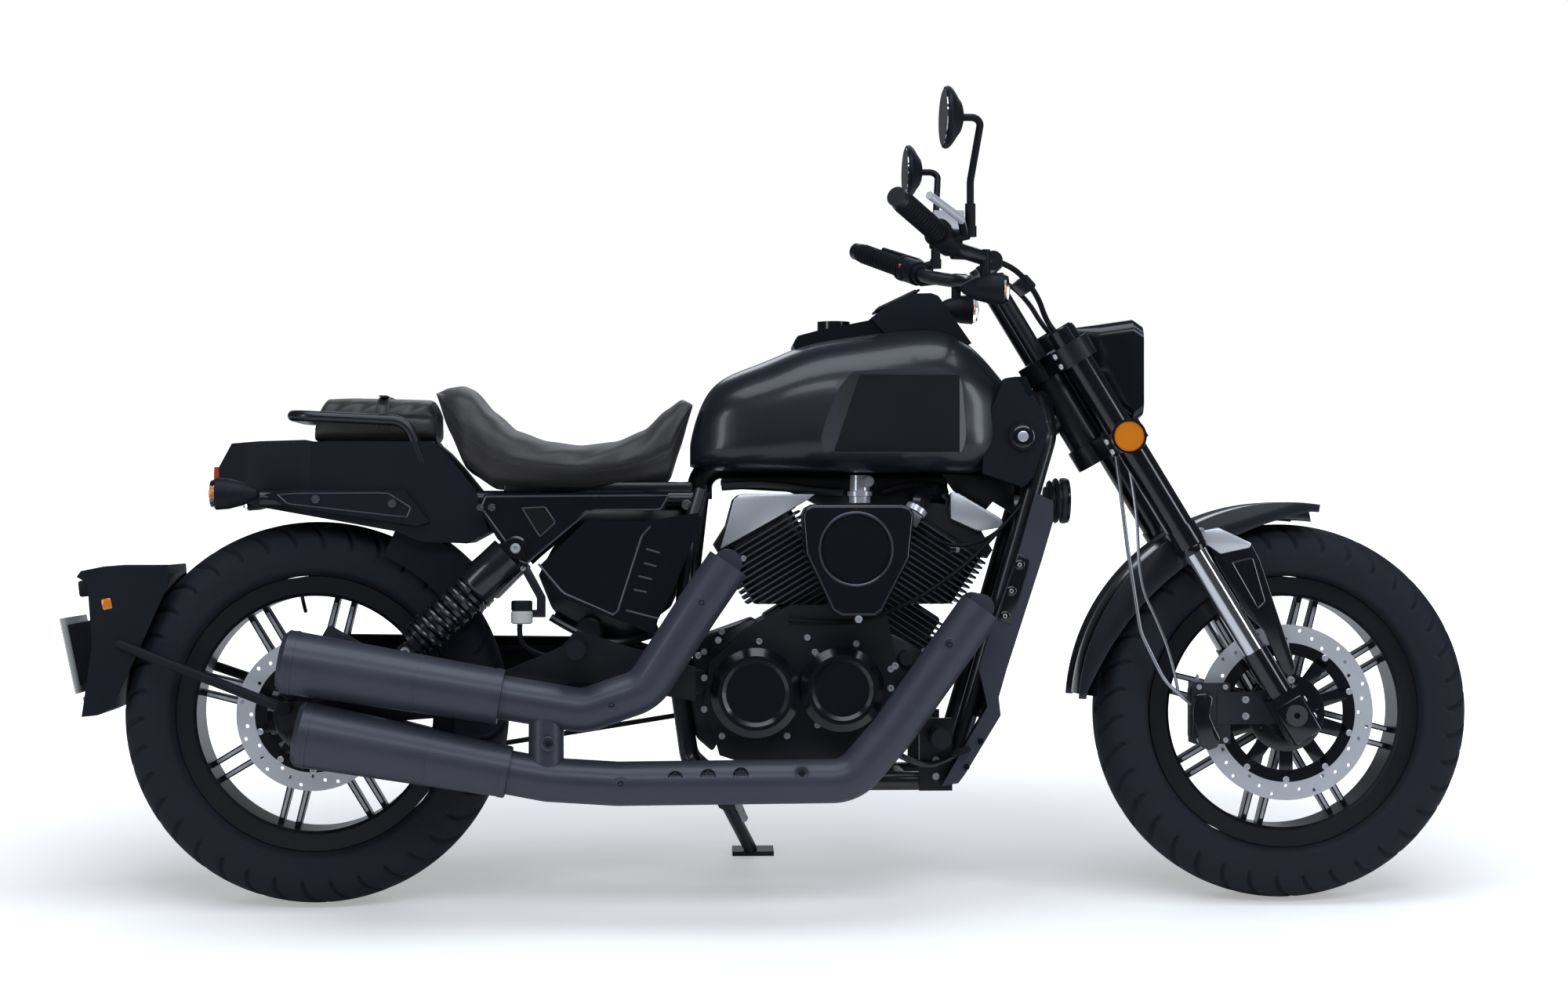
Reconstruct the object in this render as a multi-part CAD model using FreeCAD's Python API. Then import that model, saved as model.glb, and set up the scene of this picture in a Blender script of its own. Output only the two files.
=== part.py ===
import FreeCAD
import Part
import math
import os

# All lengths are millimetres and all angles degrees. The machine is drawn upright, with x forward
# from the rear axle, y to the rider's left and z up from the ground. At the end every piece is
# leaned onto the side stand and moved so that the origin is at the middle of the footprint.

# Stance
wheelbase = 1540
rear_radius = 302
front_radius = 300
lean_deg = 9
rake_deg = 31.3
fork_offset = 42

# Tyres and cast wheels
rear_tyre_width = 140
front_tyre_width = 124
tyre_wall = 11
rim_lip_radius = 216
rim_lip_thick = 5
rim_seat_radius = 204
rim_well_radius = 194
rim_inner_radius = 185
rim_mouth_radius = 190
rear_rim_width = 104
front_rim_width = 86
bead_gap = 0.3
bead_lap = 2
spoke_pairs = 8
spoke_pair_gap = 27
spoke_width = 11
spoke_tip_width = 9
spoke_depth = 34
spoke_tip_depth = 24
spoke_sink = 3
front_spoke_turn_deg = 75.6
rear_spoke_turn_deg = 76
hub_radius = 46
hub_core_radius = 30
front_hub_width = 108
rear_hub_width = 128
hub_flange = 16
axle_radius = 10
axle_bore_radius = 5
axle_clearance = 0.05
axle_head_radius = 17
axle_head_length = 9

# Brake discs and calipers
front_disc_radius = 140
rear_disc_radius = 120
disc_band = 31
disc_thick = 5
disc_carrier_radius = 62
disc_arm_width = 16
disc_arms = 10
disc_hub_radius = 18
disc_drill_radius = 3
disc_drills = 36
caliper_length = 96
caliper_height = 58
caliper_width = 52
caliper_corner = 12
pad_gap = 3

# Drive belt
pulley_radius = 98
pulley_width = 24
front_pulley_radius = 42
belt_thick = 7
belt_width = 21
belt_gap = 1
belt_line = 82
output_behind = 185
output_rise = 7
guard_thick = 3
guard_gap = 14

# Fork
leg_spread = 107
outer_tube_radius = 23
collar_radius = 25.5
slider_radius = 18.5
lug_radius = 21
lug_top = 118
slider_top = 312
collar_length = 34
outer_top = 706
leg_clamp_size = 52
leg_clamp_width = 46
leg_clamp_drop = 26
lower_yoke_place = 512
upper_yoke_place = 668
yoke_thick = 34
yoke_boss_radius = 33
stem_radius = 14
stem_boss_radius = 34
yoke_gap = 8
fit_gap = 0.3
steer_clearance = 0.1
steer_deg = 30
steer_room = 6

# Handlebar
riser_radius = 13
riser_spread = 46
riser_top = 850
bar_radius = 11.5
bar_bend = 60
grip_radius = 16
grip_length = 128
grip_flange_radius = 22
grip_flange = 6
bar_end_radius = 15
bar_end_length = 16
grip_inner_x = 965
grip_inner_y = 290
grip_inner_z = 1036
bar_tip_x = 895
bar_tip_y = 405
bar_tip_z = 1075
bar_turn_y = 190

# Mirrors
mirror_x = 966
mirror_y = 330
mirror_z = 1208
mirror_half_height = 46
mirror_half_width = 76
mirror_depth = 28
mirror_stem_radius = 5.5
mirror_stem_bend = 14
mirror_foot_radius = 8
mirror_foot_height = 34
mirror_root_x = 1012
mirror_root_y = 268
mirror_root_z = 1052
mirror_knee_z = 1120

# Lamps
headlight_back = 1196
headlight_front = 1310
headlight_low = 756
headlight_high = 927
headlight_half_width = 76
headlight_wall = 5
headlight_corner = 22
headlight_stub_x = 1228
headlight_stub_z = 843
headlight_stub_radius = 8
lens_thick = 5
lens_inset = 3
signal_radius = 25
signal_length = 78
signal_lens_depth = 12
front_signal_x = 1080
front_signal_z = 962
front_signal_y = 212
signal_stalk_radius = 8
signal_stalk_height = 60
rear_signal_ahead = 2
rear_signal_rise = 77
rear_signal_y = 168
reflector_radius = 27
reflector_thick = 9
reflector_place = 512
tail_lamp_thick = 8

# Fuel tank
tank_back = 591
tank_nose_gap = 60
tank_low = 684
tank_height = 227
tank_half_width = 148
tank_facet_depth = 15
tunnel_half_width = 34
tunnel_top = 722
console_length = 246
console_ahead = 163
console_drop = 39
console_back = tank_back + console_ahead
console_low = tank_low + tank_height - console_drop
console_height = 58
console_half_width = 44
hood_length = 161
hood_ahead = 286
hood_drop = 27
hood_back = tank_back + hood_ahead
hood_low = tank_low + tank_height - hood_drop
hood_height = 84
hood_half_width = 52
cap_radius = 26
cap_height = 12
cap_ahead = 230
cap_drop = 6
cap_x = tank_back + cap_ahead
cap_z = tank_low + tank_height - cap_drop

# Seats and rear body
seat_length = 402
seat_back = 192
seat_low = 654
seat_height = 166
seat_half_width = 148
pillion_length = 190
pillion_ahead = 152
pillion_rise = 159
pillion_height = 71
pillion_half_width = 84
tail_back = -150
tail_lap = 84
tail_length = seat_back + tail_lap - tail_back
tail_low = 570
tail_height = 167
tail_half_width = 112
pillion_back = tail_back + pillion_ahead
pillion_low = tail_low + pillion_rise
tail_tyre_gap = 26
hugger_gap = 34
hugger_thick = 20
hugger_flap = 30
hugger_half_width = 85
hugger_wall = 5
hugger_low_deg = 36
hugger_high_deg = 66
strut_length = 255
strut_ahead = 80
strut_rise = 28
strut_back = tail_back + strut_ahead
strut_low = tail_low + strut_rise
rear_signal_x = tail_back + rear_signal_ahead
rear_signal_z = tail_low + rear_signal_rise
strut_height = 56
strut_thick = 6
rail_radius = 8.5
rail_half_width = 104
rail_bend = 34
rail_rise = 41

# Main frame
head_tube_radius = 29
bearing_gap = 0.3
backbone_radius = 20
backbone_z = 693
frame_tube_radius = 15
cradle_half_width = 84
cradle_z = 196
cradle_front_x = 998
cradle_back_x = 620
down_top_x = 1156
tank_length = down_top_x - tank_nose_gap - tank_back
down_top_z = 742
seat_rail_radius = 13
cross_tube_radius = 11
seat_post_x = 352
seat_post_step = 66
seat_post_radius = 9
seat_rail_half_width = 88
seat_rail_z = 640
seat_joint_x = 606
pivot_x = 572
pivot_z = 352
frame_bend = 70
pivot_boss_radius = 16
down_half_width = 80
upright_half_width = 52
upright_shift = 30
outer_rail_radius = 12
pivot_boss_proud = 2
outer_rail_line = 115.7
outer_knee_x = 588
outer_knee_z = 592

# Swingarm and shocks
arm_spread = 118
arm_width = 26
arm_height = 46
arm_tip_height = 40
arm_cross_x = 455
arm_cross_radius = 20
arm_tip_overhang = 48
shock_top_x = 321
shock_top_z = 564
shock_low_x = 150
shock_low_z = 402
shock_spread = 130
shock_eye_radius = 15
shock_eye_width = 24
eye_clear = 2
shock_stud_radius = 8
shock_ear = 8
gusset_half = 30
shock_body_radius = 11
spring_radius = 31
spring_core_radius = 25
spring_wire = 9
spring_turns = 7
can_radius = 32
can_length = 74

# Engine
crank_x = 845
crank_z = 343
rear_tilt_deg = 31
front_tilt_deg = 33
fin_count = 13
fin_pitch = 9.2
fin_thick = 3
fin_length = 150
fin_width = 138
fin_corner = 22
barrel_length = 128
barrel_width = 118
fins_start = 168
barrel_start = 100
head_cover_height = 40
head_cover_length = 142
head_cover_width = 122
head_bevel = 24
case_half_width = 92
case_core_half = 62
case_left_behind = 121
cover_reach = 58
clutch_behind = 154
clutch_drop = 5
clutch_radius = 70
dynamo_behind = 19
dynamo_radius = 66
cover_step = 12
case_length = 300
case_behind = 233
case_height = 262
cleaner_length = 173
cleaner_behind = 84
cleaner_rise = 115
cleaner_height = 173
cleaner_inner = 128
cleaner_outer = 190
cleaner_ring_radius = 56
cleaner_ring_depth = 3
cleaner_ring_behind = 1
cleaner_ring_rise = 219
case_left_x = crank_x - case_left_behind
clutch_x = crank_x - clutch_behind
clutch_z = crank_z - clutch_drop
dynamo_x = crank_x - dynamo_behind
dynamo_z = crank_z
case_back = crank_x - case_behind
cleaner_back = crank_x - cleaner_behind
cleaner_low = crank_z + cleaner_rise
cleaner_ring_x = crank_x - cleaner_ring_behind
cleaner_ring_z = crank_z + cleaner_ring_rise
output_x = crank_x - output_behind
output_z = crank_z + output_rise

# Exhaust
pipe_radius = 34
pipe_bend = 60
pipe_line = 192
muffler_cone = 70
upper_back_x = -27
upper_back_z = 391
upper_front_x = 300
upper_front_z = 336
upper_back_radius = 49
upper_front_radius = 42
lower_back_x = -3
lower_back_z = 281
lower_front_x = 312
lower_front_z = 221
lower_back_radius = 51
lower_front_radius = 39
link_x = 369
rear_run = 128
front_run = 60
port_radius = 21
muffler_tip_radius = 22
muffler_cap = 8

# Radiator and front cowls
shroud_length = 175
shroud_back = 981
shroud_low = 192
shroud_height = 458
shroud_inner = 112
shroud_outer = 138
core_thick = 20
cowl_length = 104
cowl_back = 1048
cowl_low = 659
cowl_height = 176
cowl_inner = 76
cowl_outer = 116
cowl_cap_radius = 22
cowl_cap_height = 5
cowl_cap_ahead = 63
cowl_cap_rise = 79
cowl_cap_x = cowl_back + cowl_cap_ahead
cowl_cap_z = cowl_low + cowl_cap_rise
horn_radius = 37
horn_depth = 36
horn_x = 1160
horn_z = 638

# Covers and small pieces on the frame
cover_length = 250
cover_back = 357
cover_low = 429
cover_height = 189
cover_inner = 128
cover_outer = 150
plate_length = 293
plate_back = 263
plate_low = 531
plate_height = 119
plate_inner = 143
plate_outer = 149
plate_boss_inset = 26
plate_boss_radius = 8
peg_radius = 15
peg_length = 96
rider_peg_x = 975
rider_peg_z = 270
passenger_peg_x = 415
passenger_peg_z = 410
lever_radius = 6
lever_ahead = 46
lever_length = 150
lever_bend = 30
switch_radius = 21
switch_length = 40
well_length = 46
well_width = 34
well_height = 30
well_shift = 8
hose_radius = 3.2
hose_bend = 80

# Front mudguard
guard_rise = 36
guard_radius = front_radius + guard_rise
guard_wall = 3.5
guard_half_width = 74
guard_side = 30
guard_front_deg = 83
guard_back_deg = 175

# Plate holder behind the rear wheel
holder_length = 142
holder_behind = 63
holder_back = -rear_radius - holder_behind
holder_low = 300
holder_height = 237
holder_half_width = 86
number_plate_width = 200
number_plate_height = 120
number_plate_thick = 2
number_plate_behind = 11
number_plate_x = holder_back - number_plate_behind
number_plate_z = 395
number_plate_tilt_deg = 12
holder_wall = 6
holder_tyre_gap = 12
holder_tube_radius = 8
holder_pad_radius = 11
holder_pad_length = 24
holder_tube_x = -36
holder_tube_z = 316
plate_pad_thick = 36
plate_pad_height = 96
plate_pad_width = 120

# Side stand
stand_x = 640
stand_z = 165
stand_y = 122
stand_foot_x = 700
stand_foot_y = 268
stand_radius = 11
stand_ear_radius = 19
stand_neck = 34
stand_foot_length = 70
stand_foot_width = 38
stand_foot_thick = 8
stand_bolt_radius = 7
stand_clearance = 0.05
stand_plate = 8

overrun = 40

# Route of the front brake hose, from the lower yoke to the caliper
hose_route = [(1262, -88, 718), (1280, -98, 560), (1300, -98, 430), (1340, -94, 350), (1386.4, -70, 314)]

# Intake, pipe runs and hangers
manifold_radius = 18
throttle_radius = 27
throttle_rise = 249
throttle_z = crank_z + throttle_rise
exhaust_length = 740
exhaust_back = 300
exhaust_low = 168
exhaust_height = 380
link_radius = 27
hanger_thick = 8
hanger_low = 26
rider_hanger_drop = 14
guard_plate_thick = 4
guard_plate_length = 175
guard_plate_back = 1340
guard_plate_low = 365
guard_plate_height = 215
hub_reach = 12
hanger_clear = 1.2
caliper_arm = 14
bracket_reach = 98
filler_rise = 8
shaft_radius = 12
shroud_gap = 3
bracket_width = 26
horn_arm_radius = 10

# Shares of the outlines, each of its piece's own length and height or half width
disc_drill_shares = [0.26, 0.50, 0.74]
bowl_shares = [(0.0, 0.97), (0.12, 1.0), (0.45, 0.86), (0.75, 0.58), (1.0, 0.22)]
ring_shares = [(0.0, 0.0), (0.72, 0.0), (0.97, 0.14), (1.0, 0.42), (0.93, 0.72), (0.62, 0.94), (0.0, 1.0)]
tank_station_shares = [
    (0.0, 0.04, 0.20, 0.45), (0.05, 0.02, 0.53, 0.66), (0.12, 0.01, 0.67, 0.79), (0.22, 0.01, 0.76, 0.88),
    (0.34, 0.01, 0.87, 0.95), (0.52, 0.0, 0.95, 1.0), (0.71, 0.0, 1.0, 1.0), (0.82, 0.0, 0.97, 0.95),
    (0.91, 0.02, 0.83, 0.83), (0.97, 0.20, 0.68, 0.68), (1.0, 0.36, 0.54, 0.45)]
facet_shares = [(0.52, 0.66), (0.83, 0.66), (0.83, 0.13), (0.44, 0.13)]
facet_outer_shares = [(0.41, 0.80), (0.92, 0.80), (0.92, 0.10), (0.33, 0.10)]
console_shares = [(0.0, 0.22), (0.03, 0.48), (0.16, 0.63), (0.50, 0.92), (0.61, 1.0), (1.0, 0.58), (1.0, 0.0),
                  (0.02, 0.0)]
hood_shares = [(0.0, 0.52), (0.17, 0.78), (0.40, 0.99), (0.60, 1.0), (0.67, 0.95), (1.0, 0.05), (0.76, 0.0),
               (0.14, 0.23)]
seat_shares = [(0.0, 0.93), (0.04, 0.98), (0.10, 1.0), (0.14, 0.96), (0.22, 0.75), (0.31, 0.57), (0.43, 0.47),
               (0.56, 0.43), (0.70, 0.47), (0.81, 0.58), (0.90, 0.78), (0.96, 0.88), (1.0, 0.83), (0.95, 0.38),
               (0.91, 0.07), (0.60, 0.0), (0.23, 0.0), (0.12, 0.16), (0.04, 0.57)]
seat_plan_shares = [(0.0, 0.56), (0.10, 0.80), (0.30, 1.0), (0.55, 0.98), (0.80, 0.72), (1.0, 0.42)]
pillion_shares = [(0.0, 0.30), (0.02, 0.80), (0.08, 1.0), (0.67, 0.98), (1.0, 0.95), (1.0, 0.0), (0.85, 0.03),
                  (0.05, 0.16)]
tail_shares = [(0.05, 0.94), (0.16, 0.96), (0.33, 0.97), (0.36, 0.955), (0.79, 0.955), (0.83, 0.87), (0.88, 0.73), (0.95, 0.51), (1.0, 0.11),
               (0.92, 0.0), (0.75, 0.02), (0.67, 0.11), (0.43, 0.22), (0.14, 0.35), (0.0, 0.48), (0.0, 0.72)]
tail_plan_shares = [(0.0, 0.48), (0.10, 0.66), (0.35, 0.88), (0.65, 1.0), (1.0, 1.0)]
strut_shares = [(0.0, 0.86), (0.10, 1.0), (0.85, 0.98), (1.0, 0.1), (0.92, 0.0), (0.12, 0.55)]
cowl_shares = [(0.0, 0.12), (0.03, 0.57), (0.35, 0.97), (0.70, 1.0), (0.88, 0.77), (1.0, 0.51), (0.78, 0.09),
               (0.63, 0.0)]
shroud_shares = [(0.84, 1.0), (1.0, 0.97), (1.0, 0.90), (0.90, 0.77), (0.51, 0.31), (0.53, 0.24), (0.21, 0.04),
                 (0.15, 0.01), (0.0, 0.0), (0.41, 0.27), (0.34, 0.40), (0.44, 0.53), (0.71, 0.82)]
cleaner_shares = [(0.0, 0.91), (0.03, 0.97), (0.09, 1.0), (0.90, 1.0), (0.97, 0.97), (1.0, 0.91), (0.96, 0.52),
                  (0.72, 0.05), (0.65, 0.0), (0.35, 0.0), (0.27, 0.05), (0.03, 0.56)]
plate_shares = [(0.03, 0.97), (1.0, 1.0), (0.98, 0.77), (0.56, 0.76), (0.23, 0.0), (0.10, 0.38), (0.0, 0.80)]
cover_shares = [(0.0, 0.57), (0.29, 0.94), (0.63, 0.93), (0.98, 1.0), (1.0, 0.94), (0.83, 0.38), (0.73, 0.12),
                (0.71, 0.0), (0.11, 0.32)]
holder_shares = [(0.0, 0.92), (0.05, 0.96), (0.30, 0.99), (0.85, 0.99), (0.99, 1.0), (1.0, 0.92), (0.99, 0.86),
                 (0.82, 0.63), (0.66, 0.41), (0.37, 0.05), (0.23, 0.01), (0.06, 0.0), (0.17, 0.47), (0.12, 0.88)]
core_reach_shares = [0.20, 0.74, 0.74, 0.20]
rear_pipe_shares = [(0.47, 0.98), (0.405, 0.795), (0.297, 0.47)]
front_pipe_shares = [(0.995, 0.80), (0.81, 0.295), (0.722, 0.10), (0.24, 0.092)]
guard_plate_shares = [(0.0, 0.84), (0.10, 0.90), (0.72, 0.28), (0.83, 0.28), (0.80, 0.98), (0.95, 0.95), (1.0, 0.0), (0.66, 0.0)]
case_shares = [(0.0, 0.42), (0.03, 0.66), (0.22, 0.86), (0.45, 1.0), (0.95, 1.0), (1.0, 0.70), (1.0, 0.20),
               (0.90, 0.02), (0.35, 0.0), (0.08, 0.10)]

Vec = FreeCAD.Vector
along_x = Vec(1, 0, 0)
along_y = Vec(0, 1, 0)
along_z = Vec(0, 0, 1)
rake = math.radians(rake_deg)
fork_up = Vec(-math.sin(rake), 0, math.cos(rake))
fork_back = Vec(-math.cos(rake), 0, -math.sin(rake))
front_axle = Vec(wheelbase, 0, front_radius)
rear_axle = Vec(0, 0, rear_radius)
left, right = 1, -1


def scaled(shares, back, low, length, height):
    return [(back + u * length, low + v * height) for u, v in shares]


def closed(points):
    return Part.Face(Part.makePolygon(points + points[:1]))


def slab(outline, low, high):
    face = closed([Vec(x, low, z) for x, z in outline])
    return face.extrude(Vec(0, high - low, 0))


def deck(outline, low, high):
    face = closed([Vec(x, y, low) for x, y in outline])
    return face.extrude(Vec(0, 0, high - low))


def side_slab(outline, inner, outer, side):
    return slab(outline, min(side * inner, side * outer), max(side * inner, side * outer))


def both_sides(outline, back, length, half_width):
    upper = [(back + u * length, v * half_width) for u, v in outline]
    return upper + [(x, -y) for x, y in reversed(upper)]


def rod(start, end, radius):
    return Part.makeCylinder(radius, (end - start).Length, start, end - start)


def stand_on(shape, base, axis):
    turn = FreeCAD.Rotation(along_z, axis)
    shape.Placement = FreeCAD.Placement(base, turn).multiply(shape.Placement)
    return shape


def turned(profile, base, axis, sweep=360):
    face = closed([Vec(radius, 0, place) for radius, place in profile])
    return stand_on(face.revolve(Vec(), along_z, sweep), base, axis)


def bent_path(route, bend):
    edges = []
    start = route[0]
    for before, corner, after in zip(route, route[1:], route[2:]):
        inward = (before - corner).normalize()
        outward = (after - corner).normalize()
        half = inward.getAngle(outward) / 2
        reach = bend / math.tan(half)
        first = corner + inward * reach
        last = corner + outward * reach
        middle = corner + (inward + outward).normalize() * (bend / math.sin(half) - bend)
        edges.append(Part.LineSegment(start, first).toShape())
        edges.append(Part.Arc(first, middle, last).toShape())
        start = last
    edges.append(Part.LineSegment(start, route[-1]).toShape())
    return Part.Wire(edges)


def tube(route, radius, bend):
    ring = Part.Wire(Part.makeCircle(radius, route[0], route[1] - route[0]))
    return bent_path(route, bend).makePipeShell([ring], True, False)


def fused(pieces):
    whole = pieces[0].multiFuse(pieces[1:])
    return whole.removeSplitter()


def oval_ring(x, half_width, low, high):
    half = [Vec(x, u * half_width, low + v * (high - low)) for u, v in ring_shares]
    other = [Vec(p.x, -p.y, p.z) for p in reversed(half[1:-1])]
    curve = Part.BSplineCurve()
    curve.interpolate(half + other, True)
    return Part.Wire(curve.toShape())


def box_ring(x, half_width, low, high, corner):
    wide, tall = half_width - corner, high - corner
    deep = low + corner
    bow = corner * math.sqrt(0.5)
    spots = [(wide, tall, 1, 1), (-wide, tall, -1, 1), (-wide, deep, -1, -1), (wide, deep, 1, -1)]
    edges = []
    for index, (y, z, a, b) in enumerate(spots):
        first, last = (Vec(x, y + a * corner, z), Vec(x, y, z + b * corner))
        if a * b < 0:
            first, last = last, first
        edges.append(Part.Arc(first, Vec(x, y + a * bow, z + b * bow), last).toShape())
    ends = [(edge.Vertexes[0].Point, edge.Vertexes[1].Point) for edge in edges]
    loop = []
    for index, edge in enumerate(edges):
        loop.append(edge)
        loop.append(Part.LineSegment(ends[index][1], ends[(index + 1) % len(ends)][0]).toShape())
    return Part.Wire(loop)


def leg_point(place, side):
    return front_axle + fork_up * place + Vec(0, side * leg_spread, 0)


def turned_leg(low, high, side, radius):
    leg = rod(leg_point(low, side), leg_point(high, side), radius)
    leg.rotate(stem_point(0), fork_up, side * steer_deg)
    return leg


def stem_point(place):
    return front_axle + fork_back * fork_offset + fork_up * place


# Wheels

def tyre(axle, radius, width, rim_width):
    half = width / 2
    crown = radius - half
    bead = rim_width / 2 - rim_lip_thick - bead_gap
    foot = rim_seat_radius + bead_gap
    corners = [Vec(crown, 0, half), Vec(rim_lip_radius + bead_lap, 0, bead), Vec(foot, 0, bead),
               Vec(foot, 0, bead - tyre_wall), Vec(crown, 0, half - tyre_wall)]
    mirrored = [Vec(corner.x, 0, -corner.z) for corner in reversed(corners)]
    edges = [Part.LineSegment(a, b).toShape() for a, b in zip(corners, corners[1:])]
    edges.append(Part.Arc(corners[-1], Vec(radius - tyre_wall, 0, 0), mirrored[0]).toShape())
    edges += [Part.LineSegment(a, b).toShape() for a, b in zip(mirrored, mirrored[1:])]
    edges.append(Part.Arc(mirrored[-1], Vec(radius, 0, 0), corners[0]).toShape())
    return stand_on(Part.Face(Part.Wire(edges)).revolve(Vec(), along_z, 360), axle, along_y)


def spoke(turn, offset, rim_radius, axle):
    def rectangle(height, across, deep):
        a, b = across / 2, deep / 2
        corners = [Vec(offset - a, -b, height), Vec(offset + a, -b, height),
                   Vec(offset + a, b, height), Vec(offset - a, b, height)]
        return Part.makePolygon(corners + corners[:1])
    low = rectangle(hub_core_radius, spoke_width, spoke_depth)
    high = rectangle(rim_radius + spoke_sink, spoke_tip_width, spoke_tip_depth)
    bar = Part.makeLoft([low, high], True, True)
    bar.rotate(Vec(), along_y, turn)
    bar.translate(axle)
    return bar


def cast_wheel(axle, rim_width, hub_width, turn):
    half = rim_width / 2
    shoulder = half - rim_lip_thick
    well = half / 2
    barrel = [(rim_lip_radius, -half), (rim_lip_radius, -shoulder), (rim_seat_radius, -shoulder),
              (rim_seat_radius, -well), (rim_well_radius, -well + rim_lip_thick),
              (rim_well_radius, well - rim_lip_thick), (rim_seat_radius, well), (rim_seat_radius, shoulder),
              (rim_lip_radius, shoulder), (rim_lip_radius, half), (rim_mouth_radius, half),
              (rim_inner_radius, shoulder), (rim_inner_radius, -shoulder), (rim_mouth_radius, -half)]
    side = hub_width / 2
    bore = axle_radius + axle_clearance
    hub = [(bore, -side), (hub_core_radius, -side), (hub_core_radius, -hub_flange), (hub_radius, -hub_flange),
           (hub_radius, hub_flange), (hub_core_radius, hub_flange), (hub_core_radius, side), (bore, side)]
    pieces = [turned(barrel, axle, along_y), turned(hub, axle, along_y)]
    step = 360 / spoke_pairs
    for pair in range(spoke_pairs):
        for offset in (-spoke_pair_gap / 2, spoke_pair_gap / 2):
            pieces.append(spoke(90 - turn + pair * step, offset, rim_inner_radius, axle))
    wheel = fused(pieces)
    return wheel.cut(rod(axle - along_y * side, axle + along_y * side, bore))


def brake_disc(axle, radius, face, side):
    band = radius - disc_band
    inner = disc_hub_radius
    ring = [(band, 0), (radius, 0), (radius, disc_thick), (band, disc_thick)]
    middle = [(inner, 0), (disc_carrier_radius, 0), (disc_carrier_radius, disc_thick), (inner, disc_thick)]
    base = axle + along_y * side * face
    outward = along_y * side
    pieces = [turned(ring, base, outward), turned(middle, base, outward)]
    for arm in range(disc_arms):
        bar = Part.makeBox(disc_arm_width, disc_thick, band - inner,
                           Vec(-disc_arm_width / 2, 0, inner + spoke_sink))
        bar.rotate(Vec(), along_y, arm * 360 / disc_arms)
        bar.translate(axle + along_y * (side * face + min(0, side) * disc_thick))
        pieces.append(bar)
    drills = []
    for drill in range(disc_drills):
        turn = math.radians(drill * 360 / disc_drills)
        reach = band + disc_band * disc_drill_shares[drill % len(disc_drill_shares)]
        spot = base + Vec(reach * math.cos(turn), 0, reach * math.sin(turn))
        drills.append(rod(spot - outward * disc_thick, spot + outward * disc_thick * 2, disc_drill_radius))
    return fused(pieces).cut(drills)


def axle_bolt(axle, half_length):
    end = half_length + axle_head_length
    bolt = fused([rod(axle - along_y * end, axle + along_y * end, axle_radius),
                  rod(axle - along_y * end, axle - along_y * half_length, axle_head_radius),
                  rod(axle + along_y * half_length, axle + along_y * end, axle_head_radius)])
    return bolt.cut(rod(axle - along_y * (end + overrun), axle + along_y * (end + overrun), axle_bore_radius))


def front_tyre():
    return tyre(front_axle, front_radius, front_tyre_width, front_rim_width)


def rear_tyre():
    return tyre(rear_axle, rear_radius, rear_tyre_width, rear_rim_width)


def front_wheel():
    return cast_wheel(front_axle, front_rim_width, front_hub_width, front_spoke_turn_deg)


def rear_wheel():
    return cast_wheel(rear_axle, rear_rim_width, rear_hub_width, rear_spoke_turn_deg)


def front_disc():
    return brake_disc(front_axle, front_disc_radius, front_hub_width / 2, right)


def rear_disc():
    return brake_disc(rear_axle, rear_disc_radius, rear_hub_width / 2, right)


def rear_pulley():
    inner = hub_core_radius
    low = belt_line - pulley_width / 2
    profile = [(axle_radius + axle_clearance, rear_hub_width / 2), (inner, rear_hub_width / 2), (inner, low),
               (pulley_radius, low), (pulley_radius, low + pulley_width),
               (axle_radius + axle_clearance, low + pulley_width)]
    return turned(profile, rear_axle, along_y)


# Front fork and steering

def front_axle_bolt():
    clamp_outer = leg_spread + leg_clamp_width / 2
    clamp_inner = leg_spread - leg_clamp_width / 2
    bolt = axle_bolt(front_axle, clamp_outer)
    spacers = []
    for side in (left, right):
        disc = disc_thick if side == right else 0
        start = front_axle + along_y * side * (front_hub_width / 2 + disc + fit_gap)
        spacers.append(rod(start, front_axle + along_y * side * clamp_inner, axle_head_radius))
    bolt = fused([bolt] + spacers)
    reach = along_y * (clamp_outer + axle_head_length + overrun)
    return bolt.cut(rod(front_axle - reach, front_axle + reach, axle_bore_radius))


def fork_tubes():
    tubes = []
    for side in (left, right):
        shell = fused([rod(leg_point(slider_top, side), leg_point(outer_top, side), outer_tube_radius),
                       rod(leg_point(slider_top, side), leg_point(slider_top + collar_length, side),
                           collar_radius)])
        tubes.append(shell.cut(rod(leg_point(slider_top - overrun, side), leg_point(lower_yoke_place, side),
                                   slider_radius + fit_gap)))
    return Part.makeCompound(tubes)


def fork_sliders():
    top = lower_yoke_place - fit_gap
    return Part.makeCompound([rod(leg_point(lug_top, side), leg_point(top, side), slider_radius)
                              for side in (left, right)])


def fork_lugs():
    lugs = []
    for side in (left, right):
        clamp = Part.makeBox(leg_clamp_size, leg_clamp_width, leg_clamp_size + leg_clamp_drop,
                             Vec(-leg_clamp_size / 2, -leg_clamp_width / 2, -leg_clamp_size / 2 - leg_clamp_drop / 2))
        clamp = stand_on(clamp, leg_point(0, side), fork_up)
        lug = fused([rod(leg_point(0, side), leg_point(lug_top, side), lug_radius), clamp])
        reach = along_y * leg_clamp_width
        lugs.append(lug.cut(rod(leg_point(0, side) - reach, leg_point(0, side) + reach,
                                axle_radius + axle_clearance)))
    return Part.makeCompound(lugs)


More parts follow.
